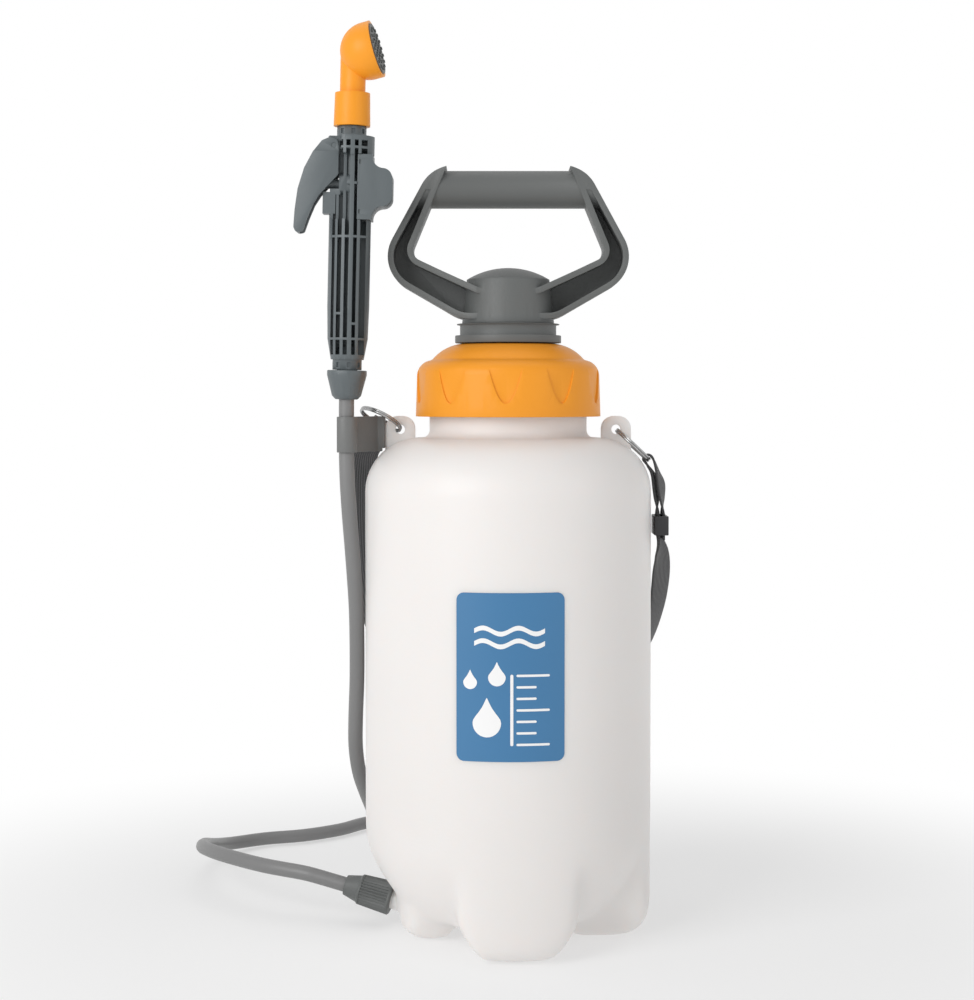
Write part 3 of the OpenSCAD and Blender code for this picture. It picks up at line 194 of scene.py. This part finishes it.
link(span.outputs["Result"], drift.inputs[0])
link(taken.outputs["Drift"], drift.inputs[1])
link(taken.outputs["Colour"], tone.inputs[0])
link(drift.outputs[0], tone.inputs["Scale"])
link(tone.outputs["Vector"], given.inputs["Tone"])
link(taken.outputs["Roughness"], smoother.inputs[0])
link(taken.outputs["Roughness"], rougher.inputs[0])
link(grain.outputs["Fac"], shine.inputs["Value"])
link(smoother.outputs[0], shine.inputs["To Min"])
link(rougher.outputs[0], shine.inputs["To Max"])
link(shine.outputs["Result"], given.inputs["Roughness"])
link(grain.outputs["Fac"], given.inputs["Height"])


def moulded_plastic(name, colour, grain_size, roughness, relief, drift=0.06, specular=0.5):
    """A plastic of one colour. Relief is the grain's height in metres."""
    material = bpy.data.materials.new(name)
    material.use_nodes = True
    tree = material.node_tree
    shader = tree.nodes["Principled BSDF"]
    shader.inputs["Specular IOR Level"].default_value = specular
    surface = add(tree, "ShaderNodeGroup", node_tree=moulded)
    surface.inputs["Colour"].default_value = (*colour, 1)
    surface.inputs["Grain Size"].default_value = grain_size
    surface.inputs["Roughness"].default_value = roughness
    surface.inputs["Drift"].default_value = drift
    bump = add(tree, "ShaderNodeBump", in_Strength=1.0, in_Distance=relief)
    tree.links.new(surface.outputs["Tone"], shader.inputs["Base Color"])
    tree.links.new(surface.outputs["Roughness"], shader.inputs["Roughness"])
    tree.links.new(surface.outputs["Height"], bump.inputs["Height"])
    tree.links.new(bump.outputs["Normal"], shader.inputs["Normal"])
    return material


def dress(name, material):
    """Gives a CAD node one material in place of its plain one."""
    nodes[name].data.materials.clear()
    nodes[name].data.materials.append(material)


hose_pvc = moulded_plastic("hose_pvc", (0.19, 0.19, 0.19), 900, 0.42, 0.00006)
hose_curve.materials.append(hose_pvc)

# Coil tie: a soft black rubber band round the turns of the spare hose, which it holds by its own grip.
# It has a faint dusty bloom.
seal_rubber = moulded_plastic("seal_rubber", (0.022, 0.022, 0.023), 1200, 0.7, 0.00004, 0.15)
dress("hose_tie", seal_rubber)


# Bottle: one blow-moulded shell of milky polyethylene with four blown feet, a neck, two lugs and the
# outlet's spigot. Its feet run softly into the dome of the base.
def take_up(piece):
    """Makes a piece the active one, with nothing else selected."""
    bpy.ops.object.select_all(action="DESELECT")
    bpy.context.view_layer.objects.active = piece
    piece.select_set(True)


def cad_copy(node, name):
    """A copy of a CAD node's mesh with its loose triangles merged, taken up in object mode."""
    mesh = nodes[node].data.copy()
    mesh.materials.clear()
    piece = bpy.data.objects.new(name, mesh)
    bpy.context.scene.collection.objects.link(piece)
    take_up(piece)
    bpy.ops.object.mode_set(mode="EDIT")
    bpy.ops.mesh.select_all(action="SELECT")
    bpy.ops.mesh.remove_doubles(threshold=2e-6)
    bpy.ops.object.mode_set(mode="OBJECT")
    return piece


def keep_below(piece, height, above=False):
    """Cuts the piece at a height and keeps the part below it, or above it."""
    take_up(piece)
    bpy.ops.object.mode_set(mode="EDIT")
    bpy.ops.mesh.select_all(action="SELECT")
    bpy.ops.mesh.bisect(
        plane_co=(0, 0, height), plane_no=(0, 0, 1), clear_outer=not above, clear_inner=above, threshold=1e-6
    )
    bpy.ops.object.mode_set(mode="OBJECT")


def apply_all(piece):
    """Applies the piece's modifiers in their order."""
    bpy.context.view_layer.objects.active = piece
    for modifier in list(piece.modifiers):
        bpy.ops.object.modifier_apply(modifier=modifier.name)


bottle_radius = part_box("bottle")[1].x
outlet_axis = Vector((-0.95699, 0.16015, 0.24192))
outlet_foot = Vector((-0.07397, 0.01238, 0.017))
outlet_reach, outlet_clear, bore_radius, rim_skin = 0.006, 0.012, 0.0031, 0.0003
base_cut, cut_spare, cut_fade, sole_height = 0.085, 0.006, 0.02, 0.012
pad_radius, pad_reach, front_foot = 0.057, 0.021, -86
foot_turns = [math.radians(front_foot + 90 * k) for k in range(4)]
pads = [Vector((pad_radius * math.cos(turn), pad_radius * math.sin(turn), 0)) for turn in foot_turns]
bottle = cad_copy("bottle", "bottle_shell")

# The faces of the rim and the outlet's bore go. That frees the outer skin, and only the skin is kept.
rim = max(vertex.co.z for vertex in bottle.data.vertices)
for elements in (bottle.data.vertices, bottle.data.edges, bottle.data.polygons):
    elements.foreach_set("select", [False] * len(elements))
for face in bottle.data.polygons:
    along = face.center - outlet_foot
    in_bore = (along - outlet_axis * along.dot(outlet_axis)).length < bore_radius
    face.select = in_bore or (face.normal.z > 0.9 and face.center.z > rim - rim_skin)
bpy.ops.object.mode_set(mode="EDIT")
bpy.ops.mesh.select_mode(type="FACE")
bpy.ops.mesh.delete(type="FACE")
bpy.ops.mesh.select_mode(type="VERT")
bpy.ops.mesh.select_all(action="DESELECT")
bpy.ops.object.mode_set(mode="OBJECT")
max(bottle.data.vertices, key=lambda vertex: vertex.co.xy.length).select = True
bpy.ops.object.mode_set(mode="EDIT")
bpy.ops.mesh.select_linked()
bpy.ops.mesh.select_all(action="INVERT")
bpy.ops.mesh.delete(type="VERT")
bpy.ops.mesh.select_all(action="SELECT")
bpy.ops.object.mode_set(mode="OBJECT")

# The base gets an even skin, so that its feet can be blended, and joins the upper part again at the cut.
bpy.ops.object.duplicate()
bottle_base = bpy.context.object
keep_below(bottle_base, base_cut + cut_spare)
bpy.ops.object.mode_set(mode="EDIT")
bpy.ops.mesh.select_all(action="SELECT")
bpy.ops.mesh.fill_holes(sides=0)
bpy.ops.object.mode_set(mode="OBJECT")
remesh = bottle_base.modifiers.new("even_skin", "REMESH")
remesh.mode = "VOXEL"
remesh.voxel_size = 0.0013
apply_all(bottle_base)
blown = bottle_base.vertex_groups.new(name="blown_feet")
for vertex in bottle_base.data.vertices:
    by_outlet = (vertex.co - outlet_foot - outlet_axis * outlet_reach).length < outlet_clear
    below_cut = max(0, min(1, (base_cut - cut_spare - vertex.co.z) / cut_fade))
    off_pad = min((vertex.co - pad).length for pad in pads) / pad_reach
    above_sole = min(1, max(off_pad ** 2, vertex.co.z / sole_height))
    blown.add([vertex.index], 0 if by_outlet else below_cut * above_sole, "REPLACE")
blend = bottle_base.modifiers.new("blended_feet", "SMOOTH")
blend.factor = 0.6
blend.iterations = 170
blend.vertex_group = blown.name
apply_all(bottle_base)
keep_below(bottle_base, base_cut)
keep_below(bottle, base_cut, above=True)
ease = bottle.modifiers.new("eased_lugs", "BEVEL")
ease.width = 0.0008
ease.segments = 2
ease.limit_method = "ANGLE"
ease.angle_limit = math.radians(50)
apply_all(bottle)
bottle_base.select_set(True)
bpy.ops.object.join()
bpy.ops.object.shade_smooth_by_angle(angle=math.radians(40))

# The wall's long triangles take level normals, so that no facet shows. A zero keeps the mesh's own.
wall_low, wall_high, wall_slack = base_cut - 0.012, 0.295, 0.0001
wall_normals = []
for vertex in bottle.data.vertices:
    out = Vector((vertex.co.x, vertex.co.y, 0))
    on_wall = abs(out.length - bottle_radius) < wall_slack and wall_low < vertex.co.z < wall_high
    wall_normals.append(out.normalized() if on_wall else Vector())
bottle.data.normals_split_custom_set_from_vertices(wall_normals)
milky = moulded_plastic("milky_polyethylene", (0.80, 0.775, 0.758), 500, 0.46, 0.00007, 0.015)
milky_shader = milky.node_tree.nodes["Principled BSDF"]
milky_shader.inputs["Subsurface Weight"].default_value = 0.55
milky_shader.inputs["Subsurface Radius"].default_value = (0.012, 0.010, 0.009)
milky_shader.inputs["Subsurface Scale"].default_value = 1.0
bottle.data.materials.clear()
bottle.data.materials.append(milky)
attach(bottle, "bottle_set")
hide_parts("bottle")


# Printed panel: a blue screen print on the bottle's front, a round-cornered field with a white level
# scale, drops and waves. It is ink, so it stands only a hair proud of the shell.
def rounded_outline(left, right, bottom, top, corner, steps=8):
    """A round-cornered field, as points in turn."""
    centres = [(right - corner, top - corner, 0), (left + corner, top - corner, 90),
               (left + corner, bottom + corner, 180), (right - corner, bottom + corner, 270)]
    points = []
    for x, z, start in centres:
        for k in range(steps + 1):
            turn = math.radians(start + 90 * k / steps)
            points.append((x + corner * math.cos(turn), z + corner * math.sin(turn)))
    return points


def drop_outline(x, z, radius, steps=28):
    """A falling drop: a round foot drawn up to a point."""
    points = []
    for k in range(steps):
        turn = math.radians(360 * k / steps - 90)
        up = max(0, math.sin(turn))
        narrow, tall = 1 - 0.75 * up ** 2.2, 1 + 0.75 * up ** 3
        points.append((x + radius * math.cos(turn) * narrow, z + radius * math.sin(turn) * tall))
    return points


def printed(name, outlines, lift, material):
    """Flat outlines, cut into narrow strips, wrapped round the bottle and given the ink's thickness."""
    corners, faces = [], []
    for outline in outlines:
        faces.append(list(range(len(corners), len(corners) + len(outline))))
        corners += [(x, 0, z) for x, z in outline]
    mesh = bpy.data.meshes.new(name)
    mesh.from_pydata(corners, [], faces)
    piece = bpy.data.objects.new(name, mesh)
    bpy.context.scene.collection.objects.link(piece)
    take_up(piece)
    bpy.ops.object.mode_set(mode="EDIT")
    strip, strips_each_side = 0.002, 18
    for k in range(-strips_each_side, strips_each_side + 1):
        bpy.ops.mesh.select_all(action="SELECT")
        bpy.ops.mesh.bisect(plane_co=(k * strip, 0, 0), plane_no=(1, 0, 0), threshold=1e-7)
    bpy.ops.object.mode_set(mode="OBJECT")
    wrapped = bottle_radius + lift
    for vertex in mesh.vertices:
        turn = vertex.co.x / bottle_radius
        vertex.co = (wrapped * math.sin(turn), -wrapped * math.cos(turn), vertex.co.z)
    ink = piece.modifiers.new("ink", "SOLIDIFY")
    ink.thickness = 0.00006
    ink.offset = 0
    apply_all(piece)
    bpy.ops.object.mode_set(mode="EDIT")
    bpy.ops.mesh.select_all(action="SELECT")
    bpy.ops.mesh.normals_make_consistent(inside=False)
    bpy.ops.object.mode_set(mode="OBJECT")
    bpy.ops.object.shade_smooth_by_angle(angle=math.radians(30))
    mesh.materials.append(material)
    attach(piece, "bottle_set")
    return piece


panel_left, panel_right, panel_low, panel_high, panel_corner = -0.0320, 0.0333, 0.1238, 0.2236, 0.0046
blue_lift, white_lift = 0.00012, 0.00024
blue_ink = moulded_plastic("blue_ink", (0.045, 0.178, 0.36), 700, 0.42, 0.00003, 0.04)
white_ink = moulded_plastic("white_ink", (0.86, 0.86, 0.86), 700, 0.45, 0.00003, 0.02)
panel_field = rounded_outline(panel_left, panel_right, panel_low, panel_high, panel_corner)
panel = printed("print_panel", [panel_field], blue_lift, blue_ink)
scale_left, scale_low, scale_gap, scale_count = 0.004, 0.1333, 0.0068, 7
tick, tick_corner, long_tick, short_tick, tick_steps = 0.0014, 0.00069, 0.020, 0.012, 4
rail_left, rail_right, rail_corner = scale_left - 0.0036, scale_left - 0.0018, 0.0008
scale_marks = []
for k in range(scale_count):
    mark_right = scale_left + (long_tick if k % 3 == 0 else short_tick)
    mark_low = scale_low + k * scale_gap
    scale_marks.append(
        rounded_outline(scale_left, mark_right, mark_low, mark_low + tick, tick_corner, tick_steps)
    )
scale_top = scale_low + (scale_count - 1) * scale_gap + tick
scale_rail = rounded_outline(rail_left, rail_right, scale_low, scale_top, rail_corner, tick_steps)
drops = [
    drop_outline(-0.0135, 0.1468, 0.0085), drop_outline(-0.0235, 0.1708, 0.0042),
    drop_outline(-0.0075, 0.1738, 0.0052),
]
waves = []
wave_left, wave_run, wave_height, wave_band, wave_points = -0.021, 0.042, 0.0018, 0.0028, 30
for wave_low in (0.1998, 0.1923):
    crest = []
    for k in range(wave_points + 1):
        done = k / wave_points
        rise = wave_height * math.sin(done * 4 * math.pi)
        crest.append((wave_left + wave_run * done, wave_low + rise))
    waves.append(crest + [(x, z + wave_band) for x, z in reversed(crest)])
marks = printed("print_marks", [*scale_marks, scale_rail, *drops, *waves], white_lift, white_ink)


# Outlet: a knurled nut in grey plastic, screwed on the bottle's spigot. It clamps the flanged tail at the
# hose's end against a rubber washer.
def eased(node, name, body, material, width, segments=2, angle=32):
    """A copy of a CAD node with its moulded edges eased, standing for that node."""
    piece = cad_copy(node, name)
    bpy.ops.object.mode_set(mode="EDIT")
    bpy.ops.mesh.select_all(action="SELECT")
    bpy.ops.mesh.dissolve_limited(angle_limit=math.radians(0.4))
    bpy.ops.object.mode_set(mode="OBJECT")
    ease = piece.modifiers.new("eased_edges", "BEVEL")
    ease.width = width
    ease.segments = segments
    ease.limit_method = "ANGLE"
    ease.angle_limit = math.radians(angle)
    apply_all(piece)
    bpy.ops.object.shade_smooth_by_angle(angle=math.radians(angle))
    piece.data.materials.clear()
    piece.data.materials.append(material)
    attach(piece, body)
    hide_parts(node)
    return piece


slate_plastic = moulded_plastic("slate_plastic", (0.100, 0.117, 0.124), 1500, 0.44, 0.00005)
grey_plastic = moulded_plastic("grey_plastic", (0.108, 0.114, 0.112), 1100, 0.52, 0.0001, 0.05)
eased("outlet_nut", "outlet_nut_knurled", "bottle_set", grey_plastic, 0.00025)
dress("outlet_tail", slate_plastic)
dress("outlet_washer", seal_rubber)

# Hose clip: a springy grey clip on the left lug's tongue. Its grey is painted lighter than the grip's, as
# painted light for the brighter light that falls on it. It is open at its side, where the hose is pressed
# in.
# The clip's grey is painted light: a lighter copy of the grey plastic for the brighter light on the clip.
clip_plastic_painted_light = moulded_plastic("clip_plastic_painted_light", (0.148, 0.151, 0.149), 1100, 0.5, 0.0001, 0.05)
eased("hose_clip", "hose_clip_moulded", "bottle_set", clip_plastic_painted_light, 0.0007)

# Split rings: bright steel wire wound in two turns that lie side by side. Each ring is turned through its
# lug's hole and hangs there.
bright_wire = bpy.data.materials.new("bright_wire")
bright_wire.use_nodes = True
wire_tree = bright_wire.node_tree
wire_shader = wire_tree.nodes["Principled BSDF"]
wire_shader.inputs["Metallic"].default_value = 1.0
wire_place = add(wire_tree, "ShaderNodeTexCoord")
wire_noise = add(wire_tree, "ShaderNodeTexNoise", in_Scale=700.0, in_Detail=4.0)
wire_tone = add(wire_tree, "ShaderNodeMapRange", in_To_Min=0.26, in_To_Max=0.46)
wire_shine = add(wire_tree, "ShaderNodeMapRange", in_To_Min=0.16, in_To_Max=0.36)
wire_tree.links.new(wire_place.outputs["Object"], wire_noise.inputs["Vector"])
wire_tree.links.new(wire_noise.outputs["Fac"], wire_tone.inputs["Value"])
wire_tree.links.new(wire_noise.outputs["Fac"], wire_shine.inputs["Value"])
wire_tree.links.new(wire_tone.outputs["Result"], wire_shader.inputs["Base Color"])
wire_tree.links.new(wire_shine.outputs["Result"], wire_shader.inputs["Roughness"])
for ring in ("ring_left", "ring_right"):
    dress(ring, bright_wire)

# Strap: one length of dark polypropylene webbing, sewn back on itself round each ring and slung
# round the bottle's back. Its ends gather to the width of the ring.
strap_width, strap_thickness = 0.020, 0.0014
strap_steps, strap_columns = 5, 6

# Each station has the strap's middle in mm, the way across it, and half its width in mm.
strap_stations = [
    ((-83.6, 8.4, 310), (-0.89, 0, 0.45), 5.6), ((-82.4, 8.3, 315), (-0.89, 0, 0.45), 5.3),
    ((-81.4, 8.6, 319.6), (-0.89, 0, 0.45), 5), ((-80.6, 11.2, 323.9), (-0.89, 0, 0.45), 5),
    ((-80.6, 14.4, 324.1), (-0.89, 0, 0.45), 5), ((-81.2, 16.4, 320), (-0.89, 0, 0.45), 5.2),
    ((-83.6, 18.6, 312), (-0.92, 0.05, 0.38), 6), ((-91, 25.5, 303), (-0.97, 0.1, 0.2), 8),
    ((-93.2, 34.5, 290), (-1, 0.05, 0.08), 9.5), ((-93.8, 39, 276), (-1, 0.1, 0), 10),
    ((-93.8, 41, 256), (-1, 0.15, 0), 10), ((-92.5, 44, 230), (-0.98, 0.2, 0), 10),
    ((-89, 50, 204), (-0.93, 0.35, 0.1), 10), ((-83.5, 59.5, 178), (-0.8, 0.55, 0.25), 10),
    ((-74, 70, 152), (-0.6, 0.58, 0.55), 10), ((-60, 81.5, 126), (-0.42, 0.4, 0.8), 10),
    ((-38, 93, 106), (-0.2, 0.15, 0.97), 10), ((-12, 98.5, 96), (0, 0, 1), 10),
    ((14, 98.5, 96), (0, 0, 1), 10), ((40, 93, 106), (0.2, 0.15, 0.97), 10),
    ((62, 80, 126), (0.42, 0.4, 0.8), 10), ((79, 64, 150), (0.45, 0.65, 0.55), 10),
    ((91.5, 46, 176), (0.4, 0.85, 0.3), 10), ((96.5, 31, 200), (0.5, 0.85, 0.1), 10),
    ((98, 20, 219), (0.55, 0.83, 0), 10), ((97.6, 10.5, 234), (0.5, 0.86, 0), 10),
    ((95.6, 3.5, 244), (0.3, 0.95, 0), 10), ((94.5, 0.3, 250.5), (0, 1, 0), 9.8),
    ((94.4, 0, 258), (0, 1, 0), 9.5), ((94.3, 0, 266), (0, 1, 0), 9),
    ((93.9, 0.4, 275), (0.25, 0.97, 0), 7.6), ((93.5, 0.5, 284), (0.4, 0.92, 0), 6.8),
    ((90.9, 0.2, 291), (0.25, 0.97, -0.1), 6), ((88.3, 0, 295), (0.1, 1, 0), 5.4),
    ((86.9, 0, 297.2), (0, 1, 0), 5), ((85.6, 0, 299), (0, 1, 0), 5), ((86.2, 0, 301.4), (0, 1, 0), 5),
    ((88.9, 0, 302.2), (0, 1, 0), 5), ((90.7, 0, 300.8), (0, 1, 0), 5),
    ((92.4, 0, 297.6), (0.1, 1, 0), 5.4), ((94.3, -0.4, 291.5), (0.25, 0.97, -0.1), 6),
    ((96.4, -0.7, 284), (0.4, 0.92, 0), 6.8), ((97.2, -0.4, 275), (0.25, 0.97, 0), 7.6),
    ((97.6, 0, 266), (0, 1, 0), 9), ((97.6, 0, 258), (0, 1, 0), 9.5), ((97.8, 0.3, 249), (0, 1, 0), 9.8),
]
strap_middle = through([Vector(station[0]) / 1000 for station in strap_stations], strap_steps)
strap_across = through([Vector(station[1]) for station in strap_stations], strap_steps)
half_widths = [Vector((station[2] / 1000, 0, 0)) for station in strap_stations]
strap_half = [half.x for half in through(half_widths, strap_steps)]
strap_points, strap_faces, strap_uv = [], [], []
strap_run = 0.0
for i, middle in enumerate(strap_middle):
    ahead = strap_middle[min(i + 1, len(strap_middle) - 1)] - strap_middle[max(i - 1, 0)]
    ahead.normalize()
    across = (strap_across[i] - ahead * strap_across[i].dot(ahead)).normalized()
    if i:
        strap_run += (middle - strap_middle[i - 1]).length
    for c in range(strap_columns + 1):
        side = 2 * c / strap_columns - 1
        strap_points.append(middle + across * side * strap_half[i])
        strap_uv.append((strap_run, strap_width / 2 * side))
for i in range(len(strap_middle) - 1):
    for c in range(strap_columns):
        a = i * (strap_columns + 1) + c
        strap_faces.append((a, a + 1, a + strap_columns + 2, a + strap_columns + 1))
strap_mesh = bpy.data.meshes.new("strap_webbing")
strap_mesh.from_pydata(strap_points, [], strap_faces)
strap_map = strap_mesh.uv_layers.new(name="along_strap")
for loop in strap_mesh.loops:
    strap_map.data[loop.index].uv = strap_uv[loop.vertex_index]
strap = bpy.data.objects.new("strap_webbing", strap_mesh)
bpy.context.scene.collection.objects.link(strap)
take_up(strap)
thick = strap.modifiers.new("webbing_thickness", "SOLIDIFY")
thick.thickness = strap_thickness
thick.offset = 0
selvedge = strap.modifiers.new("woven_edge", "BEVEL")
selvedge.width = 0.00045
selvedge.segments = 2
selvedge.limit_method = "ANGLE"
selvedge.angle_limit = math.radians(60)
apply_all(strap)
bpy.ops.object.shade_smooth_by_angle(angle=math.radians(40))
webbing = bpy.data.materials.new("webbing")
webbing.use_nodes = True
web_tree = webbing.node_tree
web_shader = web_tree.nodes["Principled BSDF"]
web_shader.inputs["Sheen Weight"].default_value = 0.25
web_map = add(web_tree, "ShaderNodeUVMap", uv_map="along_strap")
web_split = add(web_tree, "ShaderNodeSeparateXYZ")
web_tree.links.new(web_map.outputs["UV"], web_split.inputs["Vector"])


def web_math(operation, a, b=None):
    """A sum of the weave's pattern. Each term is a number or another node's output."""
    node = add(web_tree, "ShaderNodeMath", operation=operation)
    for socket, value in zip(node.inputs, (a, b)):
        if isinstance(value, (int, float)):
            socket.default_value = value
        elif value is not None:
            web_tree.links.new(value, socket)
    return node.outputs[0]


rib_pitch, pick_pitch, pick_share = 0.0016, 0.0011, 0.6
across_turns = web_math("MULTIPLY", web_split.outputs["Y"], math.pi / rib_pitch)
along_turns = web_math("MULTIPLY", web_split.outputs["X"], math.pi / pick_pitch)
ribs = web_math("ABSOLUTE", web_math("SINE", across_turns))
rib_number = web_math("FLOOR", web_math("DIVIDE", web_split.outputs["Y"], rib_pitch))
stagger = web_math("MULTIPLY", rib_number, math.pi / 2)
picks = web_math("ABSOLUTE", web_math("SINE", web_math("ADD", along_turns, stagger)))
crossing = web_math("ADD", web_math("MULTIPLY", picks, pick_share), 1 - pick_share)
weave = web_math("MULTIPLY", ribs, crossing)
web_tone = add(web_tree, "ShaderNodeMix", data_type="RGBA")
web_tone.inputs[6].default_value = (0.013, 0.013, 0.014, 1)
web_tone.inputs[7].default_value = (0.062, 0.062, 0.065, 1)
web_rough = add(web_tree, "ShaderNodeMapRange", in_To_Min=0.85, in_To_Max=0.6)
web_bump = add(web_tree, "ShaderNodeBump", in_Strength=1.0, in_Distance=0.0004)
web_tree.links.new(weave, web_tone.inputs[0])
web_tree.links.new(web_tone.outputs[2], web_shader.inputs["Base Color"])
web_tree.links.new(weave, web_rough.inputs["Value"])
web_tree.links.new(web_rough.outputs["Result"], web_shader.inputs["Roughness"])
web_tree.links.new(weave, web_bump.inputs["Height"])
web_tree.links.new(web_bump.outputs["Normal"], web_shader.inputs["Normal"])
strap_mesh.materials.append(webbing)
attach(strap, "bottle_set")
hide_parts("strap")

# Strap adjuster: a small black moulded slide with two slots. The strap's doubled end is threaded through
# it, and its middle bar grips the webbing.
dark_plastic = moulded_plastic("dark_plastic", (0.018, 0.018, 0.020), 1300, 0.4, 0.00005)
eased("strap_slider", "strap_slider_moulded", "bottle_set", dark_plastic, 0.0008)

# Cap: an orange polypropylene screw cap with shallow finger recesses round its side. It turns on the
# neck's thread and clamps the pump's flange.
orange_plastic = moulded_plastic("orange_plastic", (0.85, 0.318, 0.02), 1300, 0.42, 0.00005, 0.03, 0.28)
eased("cap", "cap_moulded", "cap_ring", orange_plastic, 0.0006, angle=24)

# Pump: a plastic barrel hangs in the neck by its flange, on a rubber gasket, with a non-return valve at
# its foot. A grey collar on its top guides the rod, and the piston on the rod has a rubber seal.
eased("pump_collar", "pump_collar_moulded", "pump_unit", grey_plastic, 0.0006)
for part in ("pump_barrel", "valve_plate", "pump_rod"):
    dress(part, slate_plastic)
for part in ("neck_gasket", "valve_disc", "piston_seal"):
    dress(part, seal_rubber)
dress("piston", orange_plastic)

# Handle: one grey moulding with channelled arms, a round grip bar and a domed hub. The hub is fixed on the
# rod's top.
eased("handle", "handle_moulded", "pump_handle", grey_plastic, 0.0009)

# Handset: an openwork body in slate plastic, held on the hose's end by a nut. Its trigger hinges on a pin
# at the top and pushes the sealed stem of the water valve, which has a cover at its far end.
eased("handset_body", "handset_body_moulded", "bottle_set", slate_plastic, 0.0002, 1)
eased("handset_nut", "handset_nut_moulded", "bottle_set", slate_plastic, 0.0005)
eased("trigger", "trigger_moulded", "trigger_lever", slate_plastic, 0.0006)
eased("valve_cover", "valve_cover_moulded", "bottle_set", slate_plastic, 0.0006)
for part in ("valve_stem", "trigger_pin"):
    dress(part, slate_plastic)
dress("stem_seal", seal_rubber)

# Valve spring: bright wire wound between the stem and the valve cover. In the handset it is pressed together
# from the stem's end as the trigger is pulled; here it is one rigid piece that rides with the water valve.
spring = cad_copy("valve_spring", "valve_spring_wound")
bpy.ops.object.shade_smooth_by_angle(angle=math.radians(80))
spring.data.materials.append(bright_wire)
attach(spring, "water_valve")
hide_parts("valve_spring")
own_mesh(spring)

# Shower head: an orange moulded elbow that turns on the handset's spout over a rubber seal. A grey spray
# plate is pressed into its mouth.
eased("shower_head", "shower_head_moulded", "head_set", orange_plastic, 0.0005)
dress("spray_plate", grey_plastic)
dress("head_seal", seal_rubber)

# Floor: a wide sheet of white paper just under the feet. It takes the object's soft shadow and fades to
# plain white around it.
floor_size, floor_drop = 30, 0.0004
bpy.ops.object.select_all(action="DESELECT")
bpy.ops.mesh.primitive_plane_add(size=floor_size, location=(0, 0, 0))
floor = bpy.context.object
floor.name = "studio_floor"
for vertex in floor.data.vertices:
    vertex.co.z = -floor_drop
paper = bpy.data.materials.new("studio_paper")
paper.use_nodes = True
paper_tree = paper.node_tree
paper_shader = paper_tree.nodes["Principled BSDF"]
paper_shader.inputs["Base Color"].default_value = (0.9, 0.9, 0.9, 1)
paper_shader.inputs["Roughness"].default_value = 0.9
paper_shader.inputs["Specular IOR Level"].default_value = 0.1
paper_place = add(paper_tree, "ShaderNodeTexCoord")
paper_far = add(paper_tree, "ShaderNodeVectorMath", operation="LENGTH")
paper_fade = add(
    paper_tree, "ShaderNodeMapRange", interpolation_type="SMOOTHSTEP", in_From_Min=0.22, in_From_Max=0.62,
    in_To_Min=0.45,
)
paper_white = add(paper_tree, "ShaderNodeEmission", in_Strength=1.0)
paper_mix = add(paper_tree, "ShaderNodeMixShader")
paper_tree.links.new(paper_place.outputs["Object"], paper_far.inputs[0])
paper_tree.links.new(paper_far.outputs["Value"], paper_fade.inputs["Value"])
paper_tree.links.new(paper_fade.outputs["Result"], paper_mix.inputs[0])
paper_tree.links.new(paper_shader.outputs["BSDF"], paper_mix.inputs[1])
paper_tree.links.new(paper_white.outputs["Emission"], paper_mix.inputs[2])
paper_tree.links.new(paper_mix.outputs["Shader"], paper_tree.nodes["Material Output"].inputs["Surface"])
floor.data.materials.append(paper)

# Light: two large soft boxes at the front and one overhead, in a pale room. The camera and what mirrors
# the room see it plain white.
lamp_aim = Vector((0, 0, 0.27))
for name, spot, size, power in (
    ("soft_box_left", (-1.5, -1.8, 1.1), 1.4, 31),
    ("soft_box_right", (1.7, -1.4, 1.0), 1.4, 4.5),
    ("soft_box_top", (-0.2, 0.2, 2.2), 1.8, 6.8),
):
    lamp_data = bpy.data.lights.new(name, "AREA")
    lamp_data.energy = power
    lamp_data.size = size
    lamp = bpy.data.objects.new(name, lamp_data)
    lamp.location = spot
    lamp.rotation_euler = (lamp_aim - Vector(spot)).to_track_quat("-Z", "Y").to_euler()
    bpy.context.scene.collection.objects.link(lamp)
room = bpy.data.worlds.new("white_room")
room.use_nodes = True
bpy.context.scene.world = room
room_tree = room.node_tree
room_light = room_tree.nodes["Background"]
room_light.inputs["Color"].default_value = (1, 1, 1, 1)
room_path = add(room_tree, "ShaderNodeLightPath")
room_mirrored = add(room_tree, "ShaderNodeMath", operation="MAXIMUM")
room_shown = add(room_tree, "ShaderNodeMath", operation="MAXIMUM")
room_level = add(room_tree, "ShaderNodeMapRange", in_To_Min=0.43, in_To_Max=1.0)
room_tree.links.new(room_path.outputs["Is Glossy Ray"], room_mirrored.inputs[0])
room_tree.links.new(room_path.outputs["Is Transmission Ray"], room_mirrored.inputs[1])
room_tree.links.new(room_path.outputs["Is Camera Ray"], room_shown.inputs[0])
room_tree.links.new(room_mirrored.outputs[0], room_shown.inputs[1])
room_tree.links.new(room_shown.outputs[0], room_level.inputs["Value"])
room_tree.links.new(room_level.outputs["Result"], room_light.inputs["Strength"])
